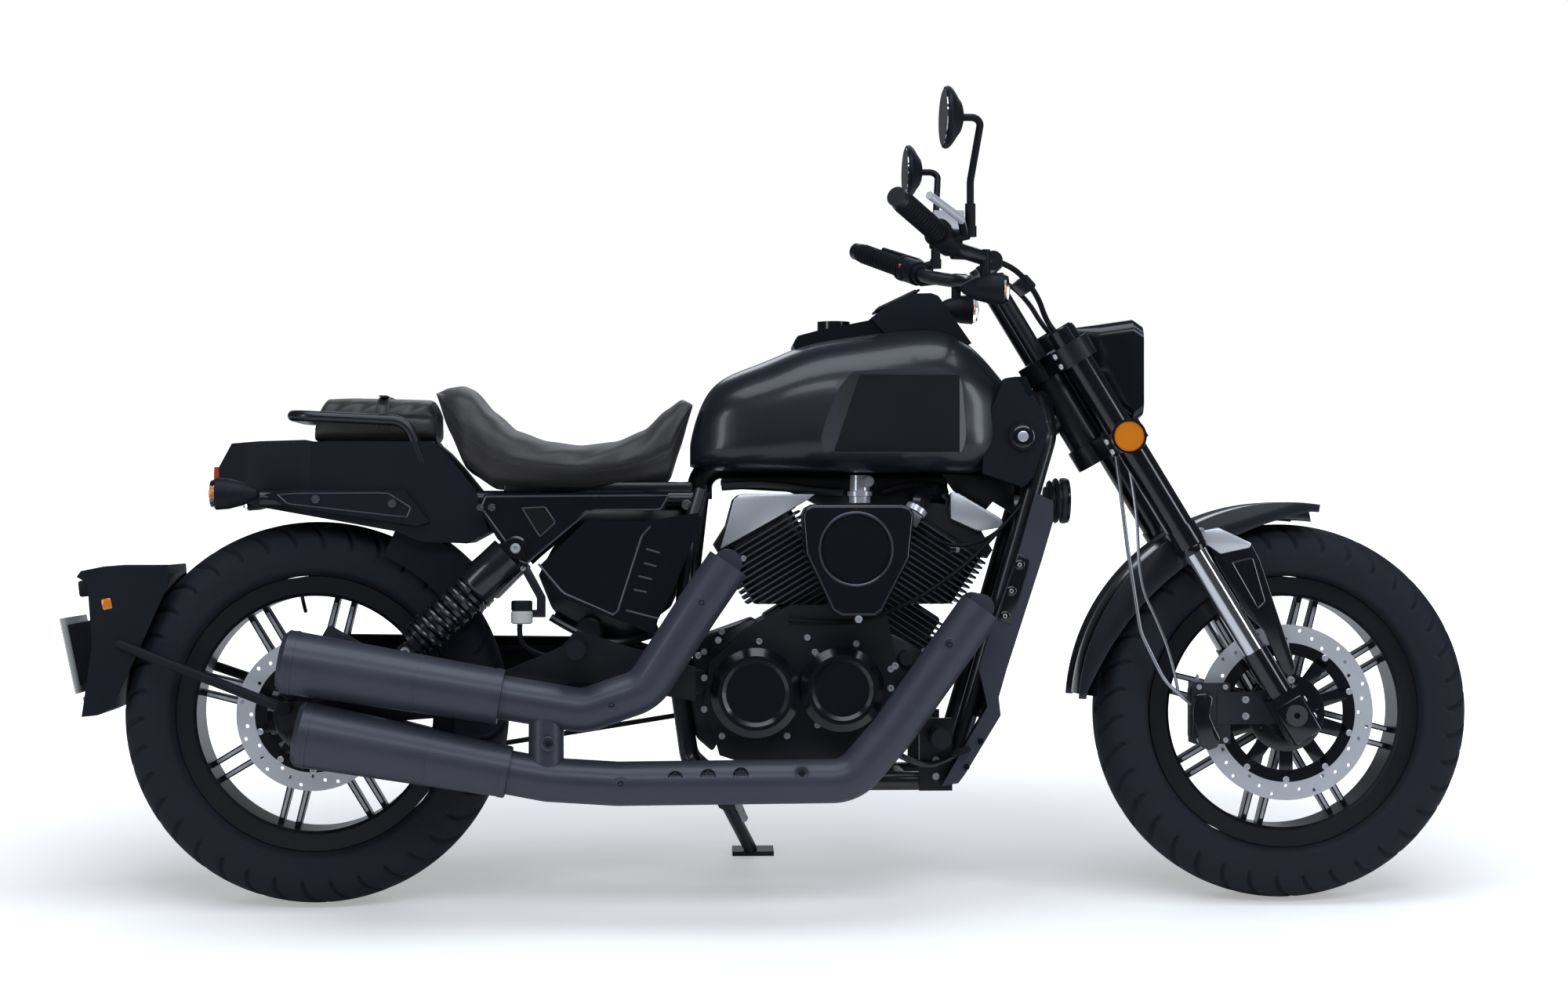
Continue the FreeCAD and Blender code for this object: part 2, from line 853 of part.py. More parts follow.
def yoke(place):
    low, high = place - yoke_thick / 2, place + yoke_thick / 2
    pieces = [rod(leg_point(low, side), leg_point(high, side), yoke_boss_radius) for side in (left, right)]
    pieces.append(rod(stem_point(low), stem_point(high), stem_boss_radius))
    web = deck([(-fork_offset, -stem_boss_radius), (-fork_offset, stem_boss_radius),
                (-yoke_gap, leg_spread), (yoke_boss_radius / 2, leg_spread), (-yoke_gap, leg_spread / 2),
                (-yoke_gap, -leg_spread / 2), (yoke_boss_radius / 2, -leg_spread),
                (-yoke_gap, -leg_spread)], -yoke_thick / 2, yoke_thick / 2)
    web.rotate(Vec(), along_y, -rake_deg)
    web.translate(front_axle + fork_up * place)
    body = fused(pieces + [web])
    for side in (left, right):
        body = body.cut(rod(leg_point(low - overrun, side), leg_point(high + overrun, side),
                            outer_tube_radius + fit_gap))
    return body


def yokes():
    low = lower_yoke_place - yoke_thick / 2
    high = upper_yoke_place + yoke_thick / 2
    stem = rod(stem_point(low), stem_point(high), stem_radius)
    return fused([yoke(lower_yoke_place), yoke(upper_yoke_place), stem])


def riser_point(place, side):
    return stem_point(place) + along_y * side * riser_spread


def bar_route():
    middle = stem_point(riser_top)
    route = []
    for side in (left, right):
        inner = Vec(grip_inner_x, side * grip_inner_y, grip_inner_z)
        tip = Vec(bar_tip_x, side * bar_tip_y, bar_tip_z)
        half = [tip, inner + (inner - tip).normalize() * bar_bend, Vec(middle.x, side * bar_turn_y, middle.z)]
        route += half if side == left else half[::-1]
    return route


def handlebar():
    base = upper_yoke_place + yoke_thick / 2
    ends = []
    for side in (left, right):
        tip, inward = grip_line(side)
        ends.append(rod(tip - inward * bar_end_length, tip, bar_end_radius))
        ends.append(rod(riser_point(base, side), riser_point(riser_top + riser_radius, side), riser_radius))
    return fused([tube(bar_route(), bar_radius, bar_bend)] + ends)


def grip_line(side):
    inner = Vec(grip_inner_x, side * grip_inner_y, grip_inner_z)
    tip = Vec(bar_tip_x, side * bar_tip_y, bar_tip_z)
    return tip, (inner - tip).normalize()


def grips():
    pieces = []
    for side in (left, right):
        tip, inward = grip_line(side)
        bore = bar_radius + fit_gap
        profile = [(bore, 0), (grip_radius, 0), (grip_radius, grip_length), (grip_flange_radius, grip_length),
                   (grip_flange_radius, grip_length + grip_flange), (bore, grip_length + grip_flange)]
        pieces.append(turned(profile, tip, inward))
    return Part.makeCompound(pieces)


def mirror_root(side):
    return Vec(mirror_root_x, side * mirror_root_y, mirror_root_z)


def mirror(side):
    root = mirror_root(side)
    foot_top = root + along_z * mirror_foot_height
    face = Vec(mirror_x, side * mirror_y, mirror_z)
    elbow = face + along_x * (mirror_depth + mirror_stem_bend * 2)
    stem = tube([foot_top, Vec(root.x, root.y, mirror_knee_z), elbow, face + along_x * mirror_depth / 2],
                mirror_stem_radius, mirror_stem_bend)
    rings = []
    for place, share in bowl_shares:
        ring = Part.Ellipse(Vec(), mirror_half_width * share, mirror_half_height * share).toShape()
        ring.Placement = FreeCAD.Placement(face + along_x * mirror_depth * place,
                                           FreeCAD.Rotation(along_y, along_z, along_x, "XYZ"))
        rings.append(Part.Wire(ring))
    return fused([stem, rod(root + along_z * fit_gap, foot_top, mirror_foot_radius),
                  Part.makeLoft(rings, True, False)])


def headlight_rings(grow):
    tall = headlight_high - headlight_low
    long = headlight_front - headlight_back
    stations = [(0.0, 0.50, 0.72, 0.92), (0.40, 0.74, 0.27, 0.96), (0.86, 0.96, 0.02, 1.0),
                (1.0, 1.0, 0.10, 0.93)]
    rings = []
    for u, v, low, high in stations:
        corner = headlight_corner if u > 0 else headlight_corner / 2
        rings.append(box_ring(headlight_back + u * long, headlight_half_width * v + grow,
                              headlight_low + low * tall - grow, headlight_low + high * tall + grow,
                              corner / 2 if u == 0 else corner))
    return rings


def headlight_shell():
    outer = Part.makeLoft(headlight_rings(0), True, True)
    inner = Part.makeLoft(headlight_rings(-headlight_wall), True, True)
    shell = outer.cut(inner)
    for side in (left, right):
        start = Vec(headlight_stub_x, side * headlight_half_width * 0.62, headlight_stub_z)
        stub = rod(start, Vec(start.x, side * leg_spread, start.z), headlight_stub_radius)
        shell = fused([shell, stub.cut(rod(leg_point(slider_top, side), leg_point(outer_top, side),
                                           outer_tube_radius + fit_gap))])
    return shell


def headlight_lens():
    rings = headlight_rings(-headlight_wall - fit_gap)
    whole = Part.makeLoft(rings, True, True)
    front = headlight_front - lens_inset
    keep = Part.makeBox(lens_thick, 2 * headlight_half_width, headlight_high - headlight_low + overrun,
                        Vec(front - lens_thick, -headlight_half_width, headlight_low - overrun / 2))
    return whole.common(keep)


def bullet(base, forward, lens):
    back = signal_length - signal_lens_depth
    if lens:
        profile = [(0, back + fit_gap), (signal_radius * 0.94, back + fit_gap),
                   (signal_radius * 0.8, signal_length - signal_lens_depth / 3), (0, signal_length)]
    else:
        profile = [(0, 0), (signal_radius * 0.3, signal_length * 0.06), (signal_radius * 0.7, signal_length * 0.3),
                   (signal_radius * 0.94, signal_length * 0.6), (signal_radius, back), (0, back)]
    return turned(profile, base - forward * signal_length, forward)


def front_signals():
    around = tube(bar_route(), bar_radius + fit_gap, bar_bend)
    bodies = []
    for side in (left, right):
        tip = Vec(front_signal_x, side * front_signal_y, front_signal_z)
        foot = tip - along_x * signal_length / 2
        stalk = rod(foot, foot + along_z * signal_stalk_height, signal_stalk_radius)
        solids = fused([bullet(tip, along_x, False), stalk]).cut(around).Solids
        bodies.append(max(solids, key=lambda solid: solid.Volume))
    return Part.makeCompound(bodies)


def front_signal_lenses():
    return Part.makeCompound([bullet(Vec(front_signal_x, side * front_signal_y, front_signal_z), along_x, True)
                              for side in (left, right)])


def side_reflectors():
    pieces = []
    for side in (left, right):
        face = leg_point(reflector_place, side)
        start = face + along_y * side * (yoke_boss_radius + fit_gap)
        pieces.append(rod(start, start + along_y * side * reflector_thick, reflector_radius))
    return Part.makeCompound(pieces)


def front_mudguard():
    half = guard_half_width
    bow = guard_side
    outer = Part.Arc(Vec(guard_radius - bow, 0, -half), Vec(guard_radius, 0, 0),
                     Vec(guard_radius - bow, 0, half)).toShape()
    inner = Part.Arc(Vec(guard_radius - bow, 0, half - guard_wall), Vec(guard_radius - guard_wall, 0, 0),
                     Vec(guard_radius - bow, 0, guard_wall - half)).toShape()
    joins = [Part.LineSegment(outer.Vertexes[1].Point, inner.Vertexes[0].Point).toShape(),
             Part.LineSegment(inner.Vertexes[1].Point, outer.Vertexes[0].Point).toShape()]
    section = Part.Face(Part.Wire([outer, joins[0], inner, joins[1]]))
    skin = section.revolve(Vec(), along_z, guard_back_deg - guard_front_deg)
    skin.rotate(Vec(), along_x, -90)
    skin.rotate(Vec(), along_y, -guard_back_deg)
    skin.translate(front_axle)
    return skin


# Main frame and side stand

lean = math.radians(lean_deg)
tyre_drop = rear_tyre_width / 2 * (1 - math.cos(lean))
stand_pivot = Vec(stand_x, stand_y, stand_z)
stand_foot = Vec(stand_foot_x, stand_foot_y, stand_foot_y * math.tan(lean) - tyre_drop / math.cos(lean))
stand_down = (stand_foot - stand_pivot).normalize()
stand_axis = stand_down.cross(Vec(-1, 0, 0)).normalize()
bracket_way = along_x.cross(stand_axis)


pivot_boss_line = outer_rail_line + outer_rail_radius + pivot_boss_proud


def down_route(side):
    return [Vec(down_top_x, 0, down_top_z + frame_bend),
            Vec(down_top_x, side * down_half_width, down_top_z),
            Vec(cradle_front_x, side * cradle_half_width, cradle_z),
            Vec(cradle_back_x, side * cradle_half_width, cradle_z)]


def frame_side(side):
    upright = [Vec(cradle_back_x - upright_shift, side * upright_half_width, cradle_z + upright_shift),
               Vec(pivot_x, side * upright_half_width, pivot_z),
               Vec(seat_joint_x, side * upright_half_width, seat_rail_z + seat_rail_radius)]
    rail = [Vec(seat_joint_x - fit_gap, side * seat_rail_half_width, seat_rail_z),
            Vec(tail_back + frame_bend, side * seat_rail_half_width, seat_rail_z)]
    outer = [Vec(seat_joint_x, side * seat_rail_half_width, seat_rail_z + outer_rail_radius),
             Vec(outer_knee_x, side * outer_rail_line, outer_knee_z),
             Vec(pivot_x, side * outer_rail_line, pivot_z)]
    return [tube(down_route(side) + upright, frame_tube_radius, frame_bend / 2),
            rod(rail[0], rail[1], seat_rail_radius), tube(outer, outer_rail_radius, frame_bend / 2),
            rod(Vec(pivot_x, side * upright_half_width, pivot_z),
                Vec(pivot_x, side * pivot_boss_line, pivot_z), pivot_boss_radius)]


def cross_tube(x, z, half_width, radius):
    return rod(Vec(x, -half_width, z), Vec(x, half_width, z), radius)


def main_frame():
    low = lower_yoke_place + yoke_thick / 2 + bearing_gap
    high = upper_yoke_place - yoke_thick / 2 - bearing_gap
    head = rod(stem_point(low), stem_point(high), head_tube_radius)
    middle = stem_point((low + high) / 2)
    spine = tube([middle, Vec(down_top_x - frame_bend, 0, backbone_z), Vec(seat_joint_x, 0, backbone_z),
                  Vec(seat_joint_x, 0, seat_rail_z)], backbone_radius, frame_bend / 2)
    pieces = [head, spine]
    for side in (left, right):
        pieces += frame_side(side)
    for side in (left, right):
        gusset = [(shock_top_x - gusset_half, seat_rail_z), (shock_top_x + gusset_half, seat_rail_z),
                  (shock_top_x + shock_eye_radius, shock_top_z), (shock_top_x, shock_top_z - shock_eye_radius),
                  (shock_top_x - shock_eye_radius, shock_top_z)]
        pieces.append(side_slab(gusset, seat_rail_half_width, shock_spread - shock_eye_width / 2 - fit_gap, side))
        pieces.append(rod(Vec(shock_top_x, side * seat_rail_half_width, shock_top_z),
                          Vec(shock_top_x, side * (plate_inner - fit_gap), shock_top_z), shock_stud_radius))
        for boss_x in (plate_back + plate_boss_inset, plate_back + plate_length - plate_boss_inset):
            pieces.append(rod(Vec(boss_x, side * seat_rail_half_width, seat_rail_z),
                              Vec(boss_x, side * (plate_inner - fit_gap), seat_rail_z), plate_boss_radius))
        for post_x in (seat_post_x, seat_post_x + seat_post_step):
            pieces.append(rod(Vec(post_x, side * seat_rail_half_width, seat_rail_z),
                              Vec(post_x, side * seat_rail_half_width, seat_low - fit_gap), seat_post_radius))
    pieces.append(cross_tube(seat_joint_x - cross_tube_radius / 2, seat_rail_z, seat_rail_half_width,
                             cross_tube_radius))
    pieces.append(cross_tube(cradle_back_x + frame_bend, cradle_z, cradle_half_width, cross_tube_radius))
    across = (horn_z - cradle_z) / (down_top_z - cradle_z)
    bar_x = cradle_front_x + across * (down_top_x - cradle_front_x)
    pieces.append(cross_tube(bar_x, horn_z, down_half_width, outer_rail_radius))
    pieces.append(rod(Vec(bar_x, 0, horn_z), Vec(horn_x - fit_gap, 0, horn_z), horn_arm_radius))
    pieces.append(cross_tube(cradle_front_x - frame_bend, cradle_z, cradle_half_width, cross_tube_radius))
    pieces.append(cross_tube(shock_top_x, seat_rail_z, seat_rail_half_width, cross_tube_radius))
    whole = fused(pieces)
    bore = rod(stem_point(low - overrun), stem_point(high + overrun), stem_radius + steer_clearance)
    ear = stand_axis * (stand_plate / 2)
    arm_reach = (Vec(stand_x, cradle_half_width, cradle_z) - stand_pivot).Length
    arm = Part.makeBox(bracket_width, stand_plate, arm_reach, Vec(-bracket_width / 2, -stand_plate / 2, 0))
    arm.Placement = FreeCAD.Placement(stand_pivot, FreeCAD.Rotation(along_x, stand_axis, bracket_way, "ZYX"))
    bracket = fused([rod(stand_pivot - ear, stand_pivot + ear, stand_ear_radius), arm])
    bolt_hole = rod(stand_pivot - ear * 4, stand_pivot + ear * 4, stand_bolt_radius + stand_clearance)
    whole = fused([whole, bracket.cut(bolt_hole)])
    return whole.cut(bore)


def side_stand():
    gap = stand_plate / 2 + fit_gap
    cheeks = []
    for way in (1, -1):
        inner = stand_pivot + stand_axis * way * gap
        outer = stand_pivot + stand_axis * way * (gap + stand_plate)
        neck = stand_down * stand_neck
        cheeks.append(rod(inner, outer, stand_ear_radius))
        plate = Part.makeBox(2 * stand_radius, stand_plate, stand_neck,
                             Vec(-stand_radius, 0 if way > 0 else -stand_plate, 0))
        turn = FreeCAD.Rotation(stand_axis.cross(stand_down), stand_axis, stand_down, "ZXY")
        plate.Placement = FreeCAD.Placement(inner, turn)
        cheeks.append(plate)
    leg = rod(stand_pivot + stand_down * (stand_ear_radius + stand_radius), stand_foot - stand_down * stand_radius,
              stand_radius)
    collar = rod(stand_pivot + stand_down * stand_neck - stand_axis * (gap + stand_plate),
                 stand_pivot + stand_down * stand_neck + stand_axis * (gap + stand_plate), stand_radius)
    bolt = rod(stand_pivot - stand_axis * (gap + stand_plate), stand_pivot + stand_axis * (gap + stand_plate),
               stand_bolt_radius)
    foot = Part.makeBox(stand_foot_length, stand_foot_width, stand_foot_thick,
                        Vec(-stand_foot_length / 2, -stand_foot_width / 2, 0))
    foot.rotate(Vec(), along_x, lean_deg)
    foot.translate(stand_foot)
    return fused(cheeks + [leg, collar, bolt, foot])


# Swingarm, shocks and rear axle

def swingarm():
    pieces = []
    inner, outer = arm_spread - arm_width / 2, arm_spread + arm_width / 2
    tip = arm_tip_height / 2
    deep = arm_height / 2
    arm_z = rear_radius + (pivot_z - rear_radius) * arm_cross_x / pivot_x
    outline = [(-arm_tip_overhang, rear_radius - tip), (-arm_tip_overhang, rear_radius + tip),
               (arm_cross_x, arm_z + deep), (arm_cross_x, arm_z - deep)]
    neck = [(arm_cross_x, arm_z - deep), (arm_cross_x, arm_z + deep), (pivot_x, pivot_z + tip),
            (pivot_x, pivot_z - tip)]
    neck_width = upright_half_width - frame_tube_radius - fit_gap
    for side in (left, right):
        pieces.append(side_slab(outline, inner, outer, side))
        pieces.append(side_slab(neck, neck_width - arm_width, neck_width, side))
        stud = Vec(shock_low_x, 0, shock_low_z)
        lug = [(shock_low_x - shock_eye_radius * 2, rear_radius), (shock_low_x - shock_eye_radius, shock_low_z),
               (shock_low_x, shock_low_z + shock_eye_radius), (shock_low_x + shock_eye_radius, shock_low_z),
               (shock_low_x + shock_eye_radius * 2, rear_radius)]
        pieces.append(side_slab(lug, inner, shock_spread - shock_eye_width / 2 - fit_gap, side))
        pieces.append(rod(stud + along_y * side * inner,
                          stud + along_y * side * (shock_spread + shock_eye_width / 2 + shock_ear),
                          shock_stud_radius))
    pieces.append(cross_tube(arm_cross_x, arm_z, outer - fit_gap, arm_cross_radius))
    pieces.append(cross_tube(pivot_x, pivot_z, neck_width, arm_cross_radius * 1.1))
    whole = fused(pieces)
    return whole.cut(cross_tube(0, rear_radius, outer + overrun, axle_radius + axle_clearance))


def rear_axle_bolt():
    outer = arm_spread + arm_width / 2
    inner = arm_spread - arm_width / 2
    bolt = axle_bolt(rear_axle, outer)
    right_start = rear_axle - along_y * (rear_hub_width / 2 + disc_thick + fit_gap)
    left_start = rear_axle + along_y * (belt_line + pulley_width / 2 + fit_gap)
    spacers = [rod(right_start, rear_axle - along_y * inner, axle_head_radius),
               rod(left_start, rear_axle + along_y * inner, axle_head_radius)]
    reach = along_y * (outer + axle_head_length + overrun)
    return fused([bolt] + spacers).cut(rod(rear_axle - reach, rear_axle + reach, axle_bore_radius))


def shock(side):
    top = Vec(shock_top_x, side * shock_spread, shock_top_z)
    low = Vec(shock_low_x, side * shock_spread, shock_low_z)
    up = (top - low).normalize()
    length = (top - low).Length
    half = along_y * shock_eye_width / 2
    eyes = [rod(top - half, top + half, shock_eye_radius), rod(low - half, low + half, shock_eye_radius)]
    start = shock_eye_radius + eye_clear
    end = length - start - can_length
    profile = [(0, 0), (shock_body_radius, 0), (shock_body_radius, start), (can_radius, start),
               (can_radius, start + spring_wire / 2)]
    pitch = (end - start - spring_wire) / spring_turns
    for turn in range(spring_turns):
        place = start + spring_wire / 2 + turn * pitch
        profile += [(spring_core_radius, place), (spring_core_radius, place + pitch * 0.25),
                    (spring_radius, place + pitch * 0.45), (spring_radius, place + pitch * 0.8),
                    (spring_core_radius, place + pitch)]
    profile += [(can_radius, end), (can_radius, end + can_length), (shock_body_radius, end + can_length),
                (shock_body_radius, length), (0, length)]
    body = turned(profile, low, up)
    hole = rod(low - half * 4, low + half * 4, shock_stud_radius + fit_gap)
    return fused([body] + eyes).cut(hole).cut(rod(top - half * 4, top + half * 4, shock_stud_radius + fit_gap))


def belt_hull(grow, inner, outer):
    start = rear_axle + along_y * inner
    end = Vec(output_x, start.y, output_z)
    span = (end - start).Length
    slope = math.atan2(end.z - start.z, end.x - start.x)
    big, small = pulley_radius + grow, front_pulley_radius + grow
    spread = math.acos((big - small) / span)

    def rim(centre, radius, angle):
        return centre + Vec(math.cos(angle), 0, math.sin(angle)) * radius
    top, low = slope + spread, slope - spread
    edges = [Part.Arc(rim(start, big, top), rim(start, big, slope + math.pi), rim(start, big, low)).toShape(),
             Part.LineSegment(rim(start, big, low), rim(end, small, low)).toShape(),
             Part.Arc(rim(end, small, low), rim(end, small, slope), rim(end, small, top)).toShape(),
             Part.LineSegment(rim(end, small, top), rim(start, big, top)).toShape()]
    return Part.Face(Part.Wire(edges)).extrude(along_y * (outer - inner))


def drive_belt():
    inner, outer = belt_line - belt_width / 2, belt_line + belt_width / 2
    return belt_hull(belt_gap + belt_thick, inner, outer).cut(belt_hull(belt_gap, inner, outer))


def belt_guard():
    reach = belt_gap + belt_thick + guard_gap
    low = belt_line - belt_width / 2
    face = arm_spread - arm_width / 2 - fit_gap
    cup = belt_hull(reach, low, face).cut(belt_hull(reach - guard_thick, low, face - guard_thick))
    keep = Part.makeBox(arm_cross_x * 0.8, face, pulley_radius * 2,
                        Vec(pulley_radius * 0.4, 0, rear_radius + arm_tip_height / 4))
    return cup.common(keep).cut(shock_space(left, shroud_gap))


# Engine

def cylinder_axis(side):
    tilt = math.radians(front_tilt_deg if side > 0 else -rear_tilt_deg)
    return Vec(math.sin(tilt), 0, math.cos(tilt))


def in_cylinder(shape, side):
    axis = cylinder_axis(side)
    turn = FreeCAD.Rotation(along_y.cross(axis), along_y, axis, "ZXY")
    shape.Placement = FreeCAD.Placement(Vec(crank_x, 0, crank_z), turn).multiply(shape.Placement)
    return shape


def plate_at(length, width, low, thick, corner):
    plate = Part.makeBox(length, width, thick, Vec(-length / 2, -width / 2, low))
    uprights = [edge for edge in plate.Edges if abs(edge.tangentAt(0).z) > 0.5]
    return plate.makeFillet(corner, uprights)


def cylinder(side):
    case_high = cradle_z + frame_tube_radius + fit_gap + case_height
    top = fins_start + fin_count * fin_pitch
    core = plate_at(barrel_length, barrel_width, barrel_start, top - barrel_start, fin_corner)
    fins = [plate_at(fin_length, fin_width, fins_start + index * fin_pitch, fin_thick, fin_corner)
            for index in range(fin_count)]
    body = in_cylinder(fused([core] + fins), side)
    keep = Part.makeBox(fin_length * 4, fin_width * 2, fin_length * 4,
                        Vec(crank_x - fin_length * 2, -fin_width, case_high + fit_gap))
    half = Part.makeBox(fin_length * 4, fin_width * 2, fin_length * 5,
                        Vec(crank_x + (fit_gap if side > 0 else -fit_gap - fin_length * 4), -fin_width, 0))
    stack = rod(Vec(crank_x, 0, case_high), Vec(crank_x, 0, throttle_z), manifold_radius + fit_gap)
    return body.common(keep).common(half).cut(stack)


def head_cover(side):
    low = fins_start + fin_count * fin_pitch + fit_gap
    half = head_cover_length / 2
    outline = [(-half, low), (-half, low + head_cover_height - head_bevel),
               (-half + head_bevel * 2, low + head_cover_height), (half - head_bevel * 2, low + head_cover_height),
               (half, low + head_cover_height - head_bevel), (half, low)]
    return in_cylinder(slab(outline, -head_cover_width / 2, head_cover_width / 2), side)


def crankcase():
    low = cradle_z + frame_tube_radius + fit_gap
    outline = scaled(case_shares, case_back, low, case_length, case_height)
    core = slab(outline, -case_core_half, case_core_half)
    flank = slab(outline, -case_half_width, -case_core_half)
    other = slab(outline, case_core_half, case_half_width)
    other = other.common(Part.makeBox(case_length, case_half_width, case_height,
                                      Vec(case_left_x, 0, low)))
    shaft = rod(Vec(output_x, case_core_half, output_z),
                Vec(output_x, belt_line + pulley_width / 2, output_z), shaft_radius)
    wheel = rod(Vec(output_x, belt_line - pulley_width / 2, output_z),
                Vec(output_x, belt_line + pulley_width / 2, output_z), front_pulley_radius)
    return fused([core, flank, other, shaft, wheel])


def round_cover(x, z, radius, side):
    start = Vec(x, side * (case_half_width + fit_gap), z)
    rim = radius - cover_step
    profile = [(0, 0), (radius, 0), (radius, cover_reach - cover_step), (rim, cover_reach),
               (rim - cover_step / 2, cover_reach), (rim - cover_step, cover_reach - cover_step / 3),
               (0, cover_reach - cover_step / 3)]
    return turned(profile, start, along_y * side)


def clutch_cover():
    return round_cover(clutch_x, clutch_z, clutch_radius, right)


def crank_cover():
    cover = round_cover(dynamo_x, dynamo_z, dynamo_radius, right)
    gap = rod(Vec(clutch_x, -case_half_width, clutch_z),
              Vec(clutch_x, -case_half_width - cover_reach - overrun, clutch_z), clutch_radius + fit_gap)
    return cover.cut(gap)


def dynamo_cover():
    return round_cover(dynamo_x, dynamo_z, dynamo_radius, left)


def air_cleaner():
    outline = scaled(cleaner_shares, cleaner_back, cleaner_low, cleaner_length, cleaner_height)
    body = side_slab(outline, cleaner_inner, cleaner_outer, right)
    front = [edge for edge in body.Edges
             if edge.BoundBox.YMax < -cleaner_outer + fit_gap]
    body = body.makeFillet(cover_step / 2, front)
    centre = Vec(cleaner_ring_x, -cleaner_outer, cleaner_ring_z)
    groove = rod(centre, centre + along_y * cleaner_ring_depth, cleaner_ring_radius)
    groove = groove.cut(rod(centre, centre + along_y * cleaner_ring_depth, cleaner_ring_radius - cover_step / 2))
    return body.cut(groove)


def intake():
    case_high = cradle_z + frame_tube_radius + fit_gap + case_height
    low = Vec(crank_x, 0, case_high + fit_gap)
    elbow = Vec(crank_x, 0, throttle_z)
    stack = rod(low, elbow, manifold_radius)
    barrel = rod(Vec(crank_x, throttle_radius, throttle_z), Vec(crank_x, fit_gap - cleaner_inner, throttle_z),
                 throttle_radius)
    return fused([stack, barrel])


# Exhaust

def pipe_route(shares, muffler_back, muffler_front, run):
    flat = scaled(shares, exhaust_back, exhaust_low, exhaust_length, exhaust_height)
    back = Vec(muffler_back[0], -pipe_line, muffler_back[1])
    front = Vec(muffler_front[0], -pipe_line, muffler_front[1])
    onward = (front - back).normalize()
    return [Vec(x, -pipe_line, z) for x, z in flat] + [front + onward * run, front + onward * fit_gap]


def port(end):
    return rod(Vec(end.x, -fin_width / 2 - fit_gap, end.z), Vec(end.x, -pipe_line, end.z), port_radius)


def header_shields():
    rear = pipe_route(rear_pipe_shares, (upper_back_x, upper_back_z), (upper_front_x, upper_front_z), rear_run)
    front = pipe_route(front_pipe_shares, (lower_back_x, lower_back_z), (lower_front_x, lower_front_z),
                       front_run)
    lower = fused([tube(front, pipe_radius, pipe_bend), port(front[0])])
    link = rod(Vec(link_x, -pipe_line, upper_front_z), Vec(link_x, -pipe_line, lower_front_z), link_radius)
    upper = fused([tube(rear, pipe_radius, pipe_bend), port(rear[0]), link])
    return Part.makeCompound([lower, upper.cut(tube(front, pipe_radius + fit_gap, pipe_bend))])


def muffler(back_x, back_z, front_x, front_z, back_radius, front_radius):
    back = Vec(back_x, -pipe_line, back_z)
    front = Vec(front_x, -pipe_line, front_z)
    length = (front - back).Length
    profile = [(muffler_tip_radius, -muffler_cap), (muffler_tip_radius + muffler_cap, -muffler_cap),
               (back_radius - muffler_cap, -muffler_cap), (back_radius, 0),
               (front_radius, length), (0, length), (0, muffler_cone), (muffler_tip_radius, muffler_cone)]
    return turned(profile, back, (front - back))


def mufflers():
    return Part.makeCompound([
        muffler(upper_back_x, upper_back_z, upper_front_x, upper_front_z, upper_back_radius,
                upper_front_radius),
        muffler(lower_back_x, lower_back_z, lower_front_x, lower_front_z, lower_back_radius,
                lower_front_radius)])


# Fuel tank, console and instrument hood

def tank_form(grow):
    rings = [oval_ring(tank_back + u * tank_length, tank_half_width * w + grow,
                       tank_low + low * tank_height - grow, tank_low + high * tank_height + grow)
             for u, low, high, w in tank_station_shares]
    return Part.makeLoft(rings, True, False)


def fuel_tank():
    body = tank_form(0)
    tunnel = Part.makeBox(tank_length + 2 * overrun, 2 * tunnel_half_width, tunnel_top - tank_low + overrun,
                          Vec(tank_back - overrun, -tunnel_half_width, tank_low - overrun))
    body = body.cut(tunnel)
    deep = tank_half_width - tank_facet_depth
    for side in (left, right):
        inner = [Vec(x, side * deep, z)
                 for x, z in scaled(facet_shares, tank_back, tank_low, tank_length, tank_height)]
        outer = [Vec(x, side * (tank_half_width + overrun / 4), z)
                 for x, z in scaled(facet_outer_shares, tank_back, tank_low, tank_length, tank_height)]
        cutter = Part.makeLoft([Part.makePolygon(inner + inner[:1]), Part.makePolygon(outer + outer[:1])],
                               True, True)
        body = body.cut(cutter)
    return body


def tank_console():
    outline = scaled(console_shares, console_back, console_low, console_length, console_height)
    body = slab(outline, -console_half_width, console_half_width).cut(tank_form(fit_gap))
    base = Vec(cap_x, 0, cap_z)
    return fused([body, rod(base, base + along_z * (cap_height + filler_rise), cap_radius)])


def instrument_hood():
    outline = scaled(hood_shares, hood_back, hood_low, hood_length, hood_height)
    body = slab(outline, -hood_half_width, hood_half_width)
    wide_console = slab(scaled(console_shares, console_back, console_low, console_length, console_height),
                        -console_half_width - fit_gap, console_half_width + fit_gap)
    solids = body.cut(wide_console).cut(tank_form(fit_gap)).Solids
    return max(solids, key=lambda solid: solid.Volume)


# Seats and rear body

def rider_seat():
    side = slab(scaled(seat_shares, seat_back, seat_low, seat_length, seat_height), -seat_half_width,
                seat_half_width)
    plan = deck(both_sides(seat_plan_shares, seat_back, seat_length, seat_half_width), seat_low,
                seat_low + seat_height)
    return side.common(plan).cut(tank_form(fit_gap))


def pillion_pad():
    return slab(scaled(pillion_shares, pillion_back, pillion_low, pillion_length, pillion_height),
                -pillion_half_width, pillion_half_width)


def wheel_clearance(gap, half_width):
    reach = along_y * half_width
    return rod(rear_axle - reach, rear_axle + reach, rear_radius + gap)


